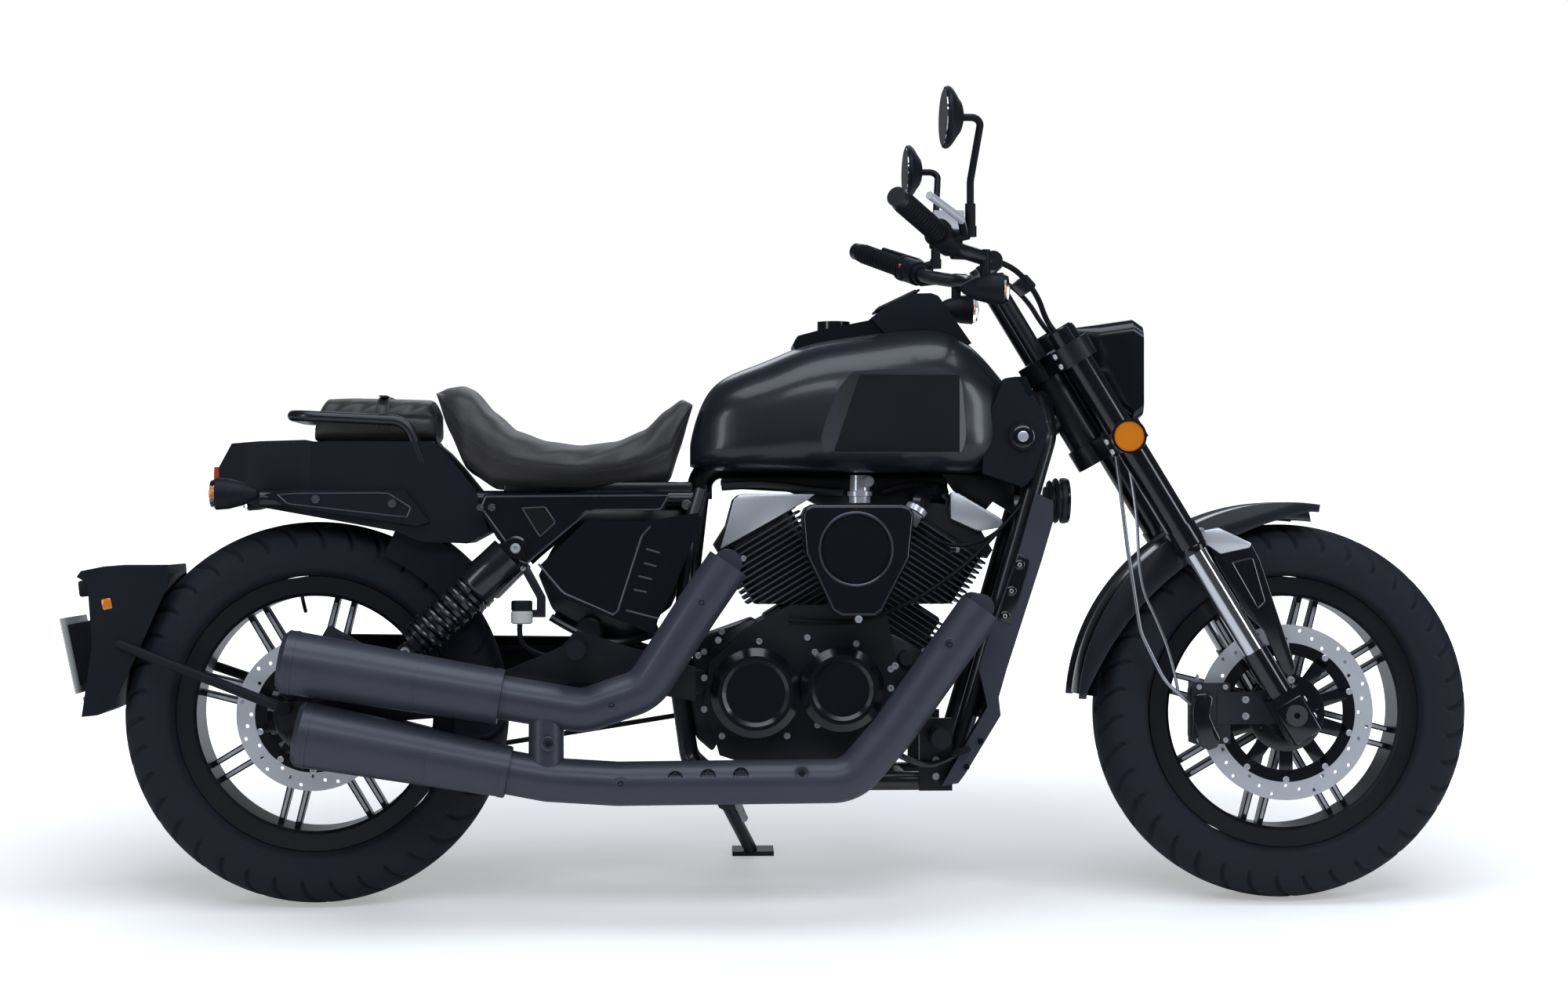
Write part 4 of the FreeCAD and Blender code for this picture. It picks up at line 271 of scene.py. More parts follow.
def join(shape, part, place=Matrix(), finish=0):
    bmesh.ops.transform(part, matrix=place, verts=part.verts)
    for face in part.faces:
        face.material_index = finish
    held = bpy.data.meshes.new("held")
    part.to_mesh(held)
    part.free()
    shape.from_mesh(held)
    bpy.data.meshes.remove(held)


def aimed(spot, out):
    return Matrix.Translation(spot) @ Vector(out).to_track_quat("Z", "Y").to_matrix().to_4x4()


def turned(shape, spot, out, outline, steps=36, finish=0, ring=False):
    part = bmesh.new()
    points = [part.verts.new((radius, 0, reach)) for reach, radius in outline]
    edges = [part.edges.new(pair) for pair in zip(points, points[1:] + points[:1] if ring else points[1:])]
    bmesh.ops.spin(part, geom=points + edges, cent=(0, 0, 0), axis=(0, 0, 1), dvec=(0, 0, 0),
                   angle=2 * math.pi, steps=steps, use_merge=True)
    bmesh.ops.remove_doubles(part, verts=part.verts, dist=0.005)
    bmesh.ops.recalc_face_normals(part, faces=part.faces)
    join(shape, part, aimed(spot, out), finish)


def disc(radius, height, soften=0):
    edge = [(height - soften, radius), (height, radius - soften)] if soften else [(height, radius)]
    return [(0, 0), (0, radius), *edge, (height, 0)]


def thicken(part, faces, shift):
    grown = bmesh.ops.extrude_face_region(part, geom=faces)["geom"]
    bmesh.ops.translate(part, vec=shift, verts=[item for item in grown if isinstance(item, bmesh.types.BMVert)])


def slab(shape, outline, near, far, soften=0, finish=0):
    part = bmesh.new()
    face = part.faces.new([part.verts.new((x, near, z)) for x, z in outline])
    thicken(part, [face], (0, far - near, 0))
    if soften:
        bmesh.ops.bevel(part, geom=part.edges[:] + part.verts[:], offset=soften, segments=2, profile=0.5,
                        affect="EDGES", material=-1, clamp_overlap=True)
    bmesh.ops.recalc_face_normals(part, faces=part.faces)
    join(shape, part, finish=finish)


def block(shape, centre, size, turn=(0, 0, 0), soften=1.5, finish=0):
    part = bmesh.new()
    bmesh.ops.create_cube(part, size=1)
    bmesh.ops.scale(part, vec=size, verts=part.verts)
    if soften:
        bmesh.ops.bevel(part, geom=part.edges[:], offset=soften, segments=2, profile=0.5,
                        affect="EDGES", material=-1, clamp_overlap=True)
    angles = Euler([math.radians(angle) for angle in turn])
    join(shape, part, Matrix.Translation(centre) @ angles.to_matrix().to_4x4(), finish)


def hose(shape, points, radius, finish=0, order=3):
    line = bpy.data.curves.new("line", "CURVE")
    line.dimensions = "3D"
    line.bevel_depth = radius
    line.bevel_resolution = 2
    line.use_fill_caps = True
    line.resolution_u = 8
    spline = line.splines.new("NURBS")
    spline.points.add(len(points) - 1)
    for point, spot in zip(spline.points, points):
        point.co = (*spot, 1)
    spline.order_u = order
    spline.use_endpoint_u = True
    holder = bpy.data.objects.new("line", line)
    mesh = bpy.data.meshes.new_from_object(holder)
    part = bmesh.new()
    part.from_mesh(mesh)
    bpy.data.objects.remove(holder)
    bpy.data.curves.remove(line)
    bpy.data.meshes.remove(mesh)
    join(shape, part, finish=finish)


def traced(shape, path, y, radius, closed=True):
    hose(shape, [(x, y, z) for x, z in path + (path[:1] if closed else [])], radius, order=2)


def bolt(shape, spot, out, radius, finish=0, tall=0.7):
    height = radius * tall
    spot = Vector(spot)
    turned(shape, spot, out, [(-2, 0), (-2, radius), (height * 0.6, radius), (height, radius * 0.82),
                              (height, radius * 0.5), (height * 0.35, radius * 0.45), (height * 0.35, 0)],
           steps=16, finish=finish)


def boltPairs(shape, rows, finish=0):
    for side in (1, -1):
        for x, y, z, radius in rows:
            bolt(shape, (x, side * y, z), (0, side, 0), radius, finish=finish)


def dress(name, shape, finish, body="frame", sharp=35):
    bmesh.ops.transform(shape, matrix=leaned, verts=shape.verts)
    mesh = bpy.data.meshes.new(name)
    shape.to_mesh(mesh)
    shape.free()
    mesh.polygons.foreach_set("use_smooth", [True] * len(mesh.polygons))
    mesh.set_sharp_from_angle(angle=math.radians(sharp))
    piece = placed(name, mesh)
    for label in [finish] if isinstance(finish, str) else finish:
        mesh.materials.append(finishOf(label))
    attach(piece, body)
    return piece


sideways = (0, -1, 0)
upward = (0, 0, 1)
ahead = (1, 0, 0)

# Finishes of the CAD pieces that stay as they are
nodeFinish = {
    "wheelBlack": "front_wheel_rim rear_wheel_rim",
    "discSteel": "front_brake_disc rear_brake_disc",
    "pulleyDark": "rear_belt_pulley",
    "chrome": "front_axle rear_axle fork_stanchions",
    "forkGloss": "fork_legs",
    "frameBlack": "fork_yokes handlebar mudguard_brackets main_frame side_stand swingarm grab_rail footrests",
    "gripRubber": "grips",
    "plasticSatin": "bar_controls mirrors front_signals belt_guard instrument_hood rear_body rear_signals "
                    "mudguard_stays radiator_shrouds front_cowls plate_holder",
    "coverGloss": "headlight_shell front_mudguard engine_covers air_cleaner tank_console subframe_plates side_covers",
    "clearGlass": "front_lenses rear_lenses",
    "amberLens": "side_reflectors",
    "castGrey": "front_caliper horn rear_caliper",
    "hoseSteel": "brake_hose",
    "springBlack": "shocks",
    "beltRubber": "drive_belt",
    "engineCase": "cylinders head_covers crankcase",
    "coverSilver": "intake",
    "exhaustSlate": "header_shields mufflers",
    "tankPaint": "fuel_tank",
    "radiatorCore": "radiator",
    "plateWhite": "number_plate",
    "tyreRubber": "front_tyre rear_tyre",
    "seatLeather": "rider_seat pillion_pad",
}


def paintNode(name, usual, rules=()):
    piece = nodes[name]
    mesh = piece.data
    mesh.materials.clear()
    mesh.materials.append(finishOf(usual))
    for label, test in rules:
        mesh.materials.append(finishOf(label))
    toDrawing = upright @ piece.matrix_world
    turn = toDrawing.to_3x3().normalized()
    for face in mesh.polygons:
        spot, out = toDrawing @ face.center, turn @ face.normal
        face.material_index = 0
        for index, (label, test) in enumerate(rules, 1):
            if test(spot, out):
                face.material_index = index


wheels = {"front": dict(x=1540, z=300, outer=300, halfWidth=62, bead=43, disc=140, pitches=38),
          "rear": dict(x=0, z=302, outer=302, halfWidth=70, bead=52, disc=120, pitches=38)}


def fromHub(spot, wheel):
    return math.hypot(spot.x - wheel["x"], spot.z - wheel["z"])


def discCarrier(wheel):
    return lambda spot, out: fromHub(spot, wheel) < wheel["disc"] - 31


engine = {"crank": (845, 0, 343), "rear": -31, "front": 33}


def finRim(tilt):
    line = Vector((math.sin(math.radians(tilt)), 0, math.cos(math.radians(tilt))))
    return lambda spot, out: abs(out.dot(line)) < 0.35


rearRim, frontRim = finRim(engine["rear"]), finRim(engine["front"])


def onFinEdge(spot, out):
    crankX, _, crankZ = engine["crank"]
    rear = spot.x < crankX
    tilt = math.radians(engine["rear" if rear else "front"])
    across = abs((spot.x - crankX) * math.cos(tilt) - (spot.z - crankZ) * math.sin(tilt))
    outside = abs(spot.y) > 65 or across > 70
    return outside and (rearRim if rear else frontRim)(spot, out)


# Faces of the tank's flat recessed facet get a darker finish than the tank paint: painted shade.
facetRange = {"x": (818, 1010), "z": (715, 834)}


def onFacet(spot, out):
    low, high = facetRange["x"]
    under, over = facetRange["z"]
    return abs(out.y) > 0.9 and low < spot.x < high and under < spot.z < over


nodeRules = {
    "fuel_tank": [("tankPaintedShade", onFacet)],
    "radiator_shrouds": [("exhaustSlate", lambda spot, out: out.y < -0.5)],
    "front_brake_disc": [("wheelBlack", discCarrier(wheels["front"]))],
    "rear_brake_disc": [("wheelBlack", discCarrier(wheels["rear"]))],
    "cylinders": [("finEdge", onFinEdge)],
    "rear_lenses": [("redLens", lambda spot, out: abs(spot.y) < 90)],
    "bar_controls": [("coverSilver", lambda spot, out: spot.y < -240 and 1046 < spot.z < 1090 and spot.x < 1000)],
}
for label, names in nodeFinish.items():
    for name in names.split():
        paintNode(name, label, nodeRules.get(name, ()))
print("CAD pieces painted")

# Tyres with a cut tread

tread = {"grooveWidth": 6.4, "grooveDepth": 5.0, "sweep": 44, "stepsPerPitch": 24, "across": 46,
         "wall": 46, "squareAcross": 0.88, "squareUp": 0.72}


def tyreOutline(wheel):
    half, outer = wheel["halfWidth"], wheel["outer"]
    middle = outer - tread["wall"]
    points = []
    for index in range(tread["across"] + 1):
        angle = math.radians(-100 + 200 * index / tread["across"])
        flat = math.copysign(abs(math.sin(angle)) ** tread["squareAcross"], angle)
        rise = math.copysign(abs(math.cos(angle)) ** tread["squareUp"], math.cos(angle))
        points.append((half * flat, middle + (outer - middle) * rise))
    lower = [(half * 0.985, middle - 16), (half * 0.95, middle - 22), (half * 0.955, middle - 24),
             (half * 0.90, middle - 32), (wheel["bead"] + 3, 220), (wheel["bead"] - 2, 217),
             (wheel["bead"] - 4, 221), (wheel["bead"], 226), (half * 0.84, middle - 18), (half * 0.84, middle)]
    left = [(-across, radius) for across, radius in reversed(lower)]
    inner = [(half * 0.55, outer - 16), (-half * 0.55, outer - 16)]
    return points + lower + inner + left


def cutTread(part, wheel):
    pitch = 2 * math.pi * wheel["outer"] / wheel["pitches"]
    for vert in part.verts:
        radius = math.hypot(vert.co.x, vert.co.z)
        across = vert.co.y / wheel["halfWidth"]
        if radius < wheel["outer"] - 50 or abs(across) < 0.10 or abs(across) > 0.995:
            continue
        arc = math.atan2(vert.co.z, vert.co.x) * wheel["outer"]
        swept = arc + tread["sweep"] * abs(across) ** 1.5 + (0.5 * pitch if across > 0 else 0)
        count = round(swept / pitch)
        away = abs(swept - count * pitch)
        near = 0.10 if count % 2 else 0.42
        width = tread["grooveWidth"] * (1.1 - 0.45 * abs(across))
        if abs(across) > near and away < width:
            deep = tread["grooveDepth"] * min(1, (width - away) / (width * 0.45)) * min(1, (abs(across) - near) * 9)
            deep *= min(1, (radius - wheel["outer"] + 50) / 14)
            rise = max((radius - wheel["outer"] + tread["wall"]) / tread["wall"], 0)
            inward = Vector((-vert.co.x / radius * rise, -across ** 3, -vert.co.z / radius * rise)).normalized()
            vert.co += inward * deep


def makeTyre(name, wheel, body):
    part = bmesh.new()
    points = [part.verts.new((radius, across, 0)) for across, radius in tyreOutline(wheel)]
    edges = [part.edges.new(pair) for pair in zip(points, points[1:] + points[:1])]
    bmesh.ops.spin(part, geom=points + edges, cent=(0, 0, 0), axis=(0, 1, 0), dvec=(0, 0, 0),
                   angle=2 * math.pi, steps=wheel["pitches"] * tread["stepsPerPitch"], use_merge=True)
    cutTread(part, wheel)
    bmesh.ops.recalc_face_normals(part, faces=part.faces)
    shape = bmesh.new()
    join(shape, part, Matrix.Translation((wheel["x"], 0, wheel["z"])))
    return dress(name, shape, "tyreRubber", body, sharp=60)


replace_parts(makeTyre("frontTyreTread", wheels["front"], "front_wheel"), "front_tyre")
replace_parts(makeTyre("rearTyreTread", wheels["rear"], "rear_wheel"), "rear_tyre")
print("tyres made")

# Bright strips along the cast spokes, hub bolts and valves

wheelTrim = {"pairs": 8, "gap": 27, "width": 5.2, "thick": 1.1, "from": 58, "to": 176,
             "turn": {"front": 75.6, "rear": 76}, "depth": {"near": 16.0, "far": 12.6},
             "bolts": 6, "boltRing": 38, "valve": [(186, 6), (176, 8), (160, 22)]}


def makeWheelTrim(name, wheel, body):
    shape = bmesh.new()
    centre = Vector((wheel["x"], 0, wheel["z"]))
    near, far = wheelTrim["depth"]["near"], wheelTrim["depth"]["far"]
    corners = [(wheelTrim["from"], -1, near), (wheelTrim["from"], 1, near),
               (wheelTrim["to"], 1, far), (wheelTrim["to"], -1, far)]
    step = 360 / wheelTrim["pairs"]
    for pair in range(wheelTrim["pairs"]):
        turn = math.radians(wheelTrim["turn"][name] + pair * step)
        for aside in (-wheelTrim["gap"] / 2, wheelTrim["gap"] / 2):
            for side in (1, -1):
                part = bmesh.new()
                face = part.faces.new([part.verts.new((reach, side * deep, aside + edge * wheelTrim["width"] / 2))
                                       for reach, edge, deep in corners])
                thicken(part, [face], (0, side * wheelTrim["thick"], 0))
                bmesh.ops.bevel(part, geom=part.edges[:], offset=0.5, segments=1, profile=0.5,
                                affect="EDGES", material=-1, clamp_overlap=True)
                bmesh.ops.recalc_face_normals(part, faces=part.faces)
                join(shape, part, Matrix.Translation(centre) @ Matrix.Rotation(-turn, 4, "Y"))
    valve = math.radians(wheelTrim["turn"][name] + step / 2)
    inward = Vector((math.cos(valve), 0, math.sin(valve)))
    hose(shape, [centre + inward * reach + Vector((0, aside, 0)) for reach, aside in wheelTrim["valve"]], 3.2, finish=1)
    for index in range(wheelTrim["bolts"]):
        turn = math.radians(index * 360 / wheelTrim["bolts"])
        ring = Vector((math.cos(turn), 0, math.sin(turn))) * wheelTrim["boltRing"]
        for side in (1, -1):
            bolt(shape, centre + ring + Vector((0, side * 15, 0)), (0, side, 0), 4.5, finish=1)
    return dress(name + "WheelTrim", shape, ["machined", "forkGloss"], body)


makeWheelTrim("front", wheels["front"], "front_wheel")
makeWheelTrim("rear", wheels["rear"], "rear_wheel")
print("wheel trim made")

# Seats

seatCut = {"back": 192, "length": 402, "low": 654, "height": 166, "half": 146}
seatTop = [(0.0, 0.93), (0.04, 0.98), (0.10, 1.0), (0.14, 0.96), (0.22, 0.75), (0.31, 0.57), (0.43, 0.47),
           (0.56, 0.43), (0.70, 0.47), (0.81, 0.58), (0.90, 0.78), (0.96, 0.88), (1.0, 0.83)]
seatUnder = [(0.0, 0.89), (0.04, 0.57), (0.12, 0.16), (0.23, 0.0), (0.60, 0.0), (0.91, 0.07), (0.95, 0.38),
             (1.0, 0.79)]
seatPlan = [(0.0, 0.56), (0.10, 0.80), (0.30, 1.0), (0.55, 0.98), (0.80, 0.72), (1.0, 0.42)]


def along(table, share):
    for (a, low), (b, high) in zip(table, table[1:]):
        if share <= b:
            t = (share - a) / (b - a)
            return low + (high - low) * (3 * t * t - 2 * t ** 3) * 0.4 + (high - low) * t * 0.6
    return table[-1][1]


def seatSpot(share, angle, swell=0):
    top = seatCut["low"] + seatCut["height"] * along(seatTop, share)
    under = seatCut["low"] + seatCut["height"] * along(seatUnder, share)
    half = seatCut["half"] * along(seatPlan, share)
    tuck = max(abs(angle) - 1.36, 0) * 0.8
    side = math.copysign(abs(math.sin(angle)) ** 0.62 * (1 - tuck), angle)
    rise = max(math.cos(angle), 0) ** 0.5
    return Vector((seatCut["back"] + seatCut["length"] * share, (half + swell) * side,
                   under + (top - under + swell) * rise))


def padShape(spotOf, columns, rows, seam, pinch):
    part = bmesh.new()
    bmesh.ops.create_grid(part, x_segments=columns, y_segments=rows, size=0.5)
    rims = [edge for edge in part.edges if all(abs(vert.co.y) > 0.4999 for vert in edge.verts)]
    for vert in part.verts:
        share, angle = vert.co.x + 0.5, vert.co.y * math.pi
        dip = sum(pinch * math.exp(-((abs(angle) - line) / 0.05) ** 2) for line in seam)
        fold = 1.8 * math.sin(share * 31 + 2.2 * math.sin(angle * 3)) * math.exp(-((abs(angle) - 1.0) / 0.35) ** 2)
        vert.co = spotOf(share, angle, fold - dip)
    bmesh.ops.bridge_loops(part, edges=rims)
    ends = bmesh.ops.holes_fill(part, edges=[edge for edge in part.edges if edge.is_boundary], sides=0)["faces"]
    bmesh.ops.triangulate(part, faces=ends, quad_method="BEAUTY", ngon_method="BEAUTY")
    bmesh.ops.recalc_face_normals(part, faces=part.faces)
    return part


def makePad(name, spotOf, columns, rows, seam, pinch):
    shape = bmesh.new()
    join(shape, padShape(spotOf, columns, rows, seam, pinch))
    piece = dress(name, shape, "seatLeather", sharp=75)
    smooth = piece.modifiers.new("round", "SUBSURF")
    smooth.levels = smooth.render_levels = 1
    return piece


def stitchRow(shape, spotOf, angle, start, end, count):
    for index in range(count):
        a = start + (end - start) * index / count
        b = a + (end - start) * 0.55 / count
        first, second = spotOf(a, angle, 0.6), spotOf(b, angle, 0.6)
        hose(shape, [first, (first + second) / 2, second], 0.7, order=2)


seatPad = makePad("riderSeatPad", seatSpot, 72, 96, (1.37,), 4.5)
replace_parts(seatPad, "rider_seat")

pillionCut = {"back": 2, "length": 190, "low": 729, "height": 71, "half": 84}
pillionTop = [(0.0, 0.42), (0.03, 0.78), (0.09, 0.98), (0.30, 1.0), (0.67, 0.98), (0.95, 0.96), (1.0, 0.72)]


def pillionSpot(share, angle, swell=0):
    top = pillionCut["low"] + pillionCut["height"] * along(pillionTop, share)
    ends = 1 - 0.12 * (abs(share - 0.5) * 2) ** 5
    side = math.copysign(abs(math.sin(angle)) ** 0.55, angle)
    rise = max(math.cos(angle), 0) ** 0.45
    return Vector((pillionCut["back"] + pillionCut["length"] * share,
                   (pillionCut["half"] * ends + swell) * side,
                   pillionCut["low"] + (top - pillionCut["low"] + swell) * rise))


pillionPad = makePad("pillionSeatPad", pillionSpot, 44, 72, (1.30,), 3.0)
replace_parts(pillionPad, "pillion_pad")

stitches = bmesh.new()
for side in (1, -1):
    stitchRow(stitches, seatSpot, side * 1.43, 0.08, 0.92, 70)
    stitchRow(stitches, seatSpot, side * 1.30, 0.08, 0.92, 70)
    stitchRow(stitches, pillionSpot, side * 1.22, 0.06, 0.94, 34)
dress("seatStitches", stitches, "stitchThread")

straps = bmesh.new()
for share in (0.52, 0.60):
    hose(straps, [pillionSpot(share, angle / 10, 1.2) for angle in range(-15, 16, 2)], 2.2, order=3)
block(straps, (2 + 190 * 0.56, 0, 801.5), (13, 150, 2), soften=0.8)
dress("pillionStrap", straps, "seatLeather")
print("seats made")

# Shock springs

shockLine = {"top": (321, 564), "low": (150, 402), "y": 130, "coil": 28, "wire": 4.4, "turns": 6.5}


def coilSpring(shape, start, end, radius, wire, turns):
    part = bmesh.new()
    ring = bmesh.ops.create_circle(part, cap_ends=False, radius=wire, segments=8)["verts"]
    bmesh.ops.rotate(part, verts=ring, cent=(0, 0, 0), matrix=Matrix.Rotation(math.pi / 2, 3, "X"))
    bmesh.ops.translate(part, verts=ring, vec=(radius, 0, 0))
    steps = round(turns * 26)
    length = (Vector(end) - Vector(start)).length
    bmesh.ops.spin(part, geom=part.verts[:] + part.edges[:], cent=(0, 0, 0), axis=(0, 0, 1),
                   dvec=(0, 0, length / steps), angle=2 * math.pi * turns, steps=steps, use_merge=False)
    bmesh.ops.remove_doubles(part, verts=part.verts, dist=0.001)
    bmesh.ops.holes_fill(part, edges=[edge for edge in part.edges if edge.is_boundary], sides=0)
    bmesh.ops.recalc_face_normals(part, faces=part.faces)
    join(shape, part, aimed(start, Vector(end) - Vector(start)))


springs = bmesh.new()
for side in (1, -1):
    top, low = (Vector((x, side * shockLine["y"], z)) for x, z in (shockLine["top"], shockLine["low"]))
    down = (low - top).normalized()
    coilSpring(springs, top + down * 98, low - down * 34, shockLine["coil"], shockLine["wire"], shockLine["turns"])
    turned(springs, top + down * 18, down, [(0, 0), (0, 26), (3, 31), (70, 33.5), (74, 32), (76, 30), (76, 0)])
    turned(springs, top + down * 78, down, [(0, 0), (0, 31), (4, 31), (4, 26), (9, 26), (9, 31), (13, 31), (13, 0)])
    bolt(springs, top + Vector((0, side * 15, 0)), (0, side, 0), 9, finish=1)
    turned(springs, top + Vector((0, side * 10, 0)), (0, side, 0), disc(18, 6, 2))
    bolt(springs, low + Vector((0, side * 15, 0)), (0, side, 0), 9, finish=1)
dress("shockSprings", springs, ["springBlack", "machined"])
print("springs made")

# Engine: polished head wedges and cover bolts

wedgeShape = {"rear": [(637, 560), (659, 640), (668, 648), (788, 648), (772, 636)],
              "front": [(1002, 651), (1002, 609), (1046, 589), (1089, 596), (1082, 610), (1014, 650)]}
wedges = bmesh.new()
for side in (-1, 1):
    for outline in wedgeShape.values():
        slab(wedges, outline, side * 62, side * 72, soften=2.5)
dress("headWedges", wedges, "coverSilver")

engineBolts = {
    "cover": [(698, 416), (634, 418), (774, 422), (786, 399), (612, 359), (905, 342), (602, 394), (851, 412),
              (640, 268), (742, 268), (790, 285), (880, 285), (905, 372), (612, 310)],
    "coverRadius": 5.5, "coverSide": 93, "others": [(674, 70, 546, 5), (1012, 70, 560, 5), (912, 93, 377, 6)],
    "cleaner": (848, -188, 454)}
bolts = bmesh.new()
boltPairs(bolts, [(x, engineBolts["coverSide"], z, engineBolts["coverRadius"]) for x, z in engineBolts["cover"]]
          + engineBolts["others"])
bolt(bolts, engineBolts["cleaner"], sideways, 6)
dress("engineBolts", bolts, "machined")
print("engine dressed")

# The fins that run on below the case line, dark castings behind the pipes, cleaner ring

lowFins = {"start": 161, "pitch": 9.2, "count": 6, "size": (146, 132, 3)}
fins = bmesh.new()
for tilt in (engine["rear"], engine["front"]):
    turn = Matrix.Rotation(math.radians(tilt), 4, "Y")
    for index in range(lowFins["count"]):
        reach = lowFins["start"] - index * lowFins["pitch"]
        block(fins, Vector(engine["crank"]) + (turn @ Vector((0, 0, reach))), lowFins["size"], (0, tilt, 0), soften=0)
        for side in (1, -1):
            block(fins, Vector(engine["crank"]) + (turn @ Vector((0, side * 66, reach))), (144, 0.8, 1.6),
                  (0, tilt, 0), soften=0, finish=1)
    block(fins, Vector(engine["crank"]) + (turn @ Vector((0, 0, 122))), (126, 112, 92), (0, tilt, 0), soften=6)
dress("lowerFins", fins, ["engineCase", "finEdge"])

castings = bmesh.new()
slab(castings, [(850, 452), (940, 415), (985, 420), (952, 345), (948, 300), (905, 240), (850, 230)], -58, 58, soften=5)
slab(castings, [(600, 420), (690, 452), (725, 420), (626, 240), (600, 262), (588, 330)], -56, 40, soften=5)
turned(castings, (955, -62, 330), sideways, disc(24, 19, 3))
turned(castings, (604, -60, 352), sideways, disc(20, 17, 3))
turned(castings, (932, -58, 388), sideways, disc(13, 12, 2), finish=1)
for x, z in ((612, 398), (640, 430), (905, 262), (930, 285), (962, 400)):
    bolt(castings, (x, -58, z), sideways, 5.5, finish=2)
slab(castings, [(640, 676), (1002, 676), (998, 606), (930, 590), (880, 606), (800, 628), (752, 652), (640, 658)],
     -38, 38, soften=6)
hose(castings, [(640, -52, 660), (690, -58, 664), (740, -56, 660), (790, -50, 652), (832, -46, 650)], 7)
hose(castings, [(898, -50, 650), (930, -60, 662), (970, -64, 664), (1000, -52, 640)], 6)
block(castings, (1014, -52, 628), (30, 26, 30), (0, 20, 0), soften=3, finish=1)
hose(castings, [(990, -40, 651), (967, -70, 655), (948, -96, 640), (944, -104, 617), (934, -104, 601)], 15, finish=3)
turned(castings, (946, -104, 626), (-0.5, -0.2, -0.84), disc(17.5, 9), finish=2)
slab(castings, [(990, 681), (1106, 675), (1108, 615), (1073, 636), (1062, 623), (1010, 653)], -40, -34, soften=1)
dress("engineCastings", castings, ["engineCase", "castGrey", "machined", "coverGloss"])

cleanerTrim = bmesh.new()
turned(cleanerTrim, (844, -189, 562), sideways, [(0, 54.2), (0, 58), (1.6, 58), (3, 56.8), (3, 55.4), (1.6, 54.2)],
       steps=96, ring=True)
dress("cleanerRing", cleanerTrim, "finEdge")

# Exhaust: shield screws in dished seats and the three mesh holes

exhaustMarks = {
    "screws": [(606, 481), (469, 326), (373, 267), (483, 206), (759, 221), (985, 416)],
    "holes": [(566, 213), (616, 216), (666, 218)], "line": -224}
screws = bmesh.new()
for x, z in exhaustMarks["screws"]:
    turned(screws, (x, exhaustMarks["line"] + 4, z), sideways,
           [(0, 0), (0, 11.5), (4.5, 11), (5.2, 10), (4.2, 8.5), (3.2, 7.5), (3.2, 0)], steps=28)
    bolt(screws, (x, exhaustMarks["line"] + 1.5, z), sideways, 5.2, finish=1)
# Each hole is a dark disc, painted shade for the hole's inside, with the mesh wires laid over it
for x, z in exhaustMarks["holes"]:
    turned(screws, (x, exhaustMarks["line"] + 4, z), sideways,
           [(0, 0), (0, 12), (3.4, 12), (4.4, 10.8), (3.4, 9.8), (2.6, 9.8), (2.6, 0)], steps=28, finish=2)
    for turn in (30, -30, 90):
        for shift in (-5, 0, 5):
            block(screws, (x + shift * math.cos(math.radians(turn)), exhaustMarks["line"] + 0.9,
                           z - shift * math.sin(math.radians(turn))), (1.2, 1.2, 17), (0, turn, 0), soften=0)
dress("exhaustFittings", screws, ["exhaustSlate", "engineCase", "paintedHoleShade"])
print("exhaust dressed")

# Side covers: louvre ribs and the raised crease, lighter than the cover as painted highlight

coverMarks = {
    "ribs": [((521, 562), (542, 556)), ((518, 540), (537, 535)), ((509, 520), (530, 515)),
             ((502, 499), (522, 495)), ((490, 467), (540, 454))],
    "crease": [(528, 597), (515, 583), (475, 458), (393, 494), (355, 539)], "line": 150}
covers = bmesh.new()
for side in (1, -1):
    for (ax, az), (bx, bz) in coverMarks["ribs"]:
        traced(covers, [(ax, az), (bx, bz)], side * coverMarks["line"], 1.8, closed=False)
    traced(covers, coverMarks["crease"], side * coverMarks["line"], 1.9, closed=False)
dress("coverRibs", covers, "coverEdge")

# Subframe fittings, tail strut bolts, reservoir

frameBolts = {"seatPlate": [(265, 149, 626, 6), (283, 149, 626, 6)], "tail": [(9, 118, 639, 7.5), (127, 118, 632, 7.5)],
              "rail": [(584, 100, 630, 9)]}
fittings = bmesh.new()
boltPairs(fittings, frameBolts["seatPlate"] + frameBolts["tail"] + frameBolts["rail"])
dress("subframeBolts", fittings, "chrome")

bottle = {"foot": (329, -140, 446), "lid": (329, -140, 466),
          "pipe": [(326, -140, 446), (325, -138, 430), (330, -132, 412), (355, -126, 398), (395, -120, 388),
                   (430, -112, 370)]}
reservoir = bmesh.new()
turned(reservoir, bottle["foot"], upward, [(0, 0), (0, 14), (2, 17), (18, 17), (20, 15), (20, 0)])
turned(reservoir, bottle["lid"], upward, [(0, 0), (0, 15), (2, 16.5), (14, 16.5), (16, 15), (16, 0)], finish=1)
hose(reservoir, bottle["pipe"], 4.5, finish=2)
dress("rearReservoir", reservoir, ["bottleWhite", "plasticSatin", "cableJacket"])
print("frame fittings made")

# Fork ends, reflector rims, second hose, brakes, mudguard stays and skirt

forkLine = {"axle": (1540, 0, 300), "rake": 31.3, "spread": 107}
rake = math.radians(forkLine["rake"])
forkUp = Vector((-math.sin(rake), 0, math.cos(rake)))
forkBack = Vector((-math.cos(rake), 0, -math.sin(rake)))


def legSpot(place, side, aside=0):
    return Vector(forkLine["axle"]) + forkUp * place + Vector((0, side * (forkLine["spread"] + aside), 0))


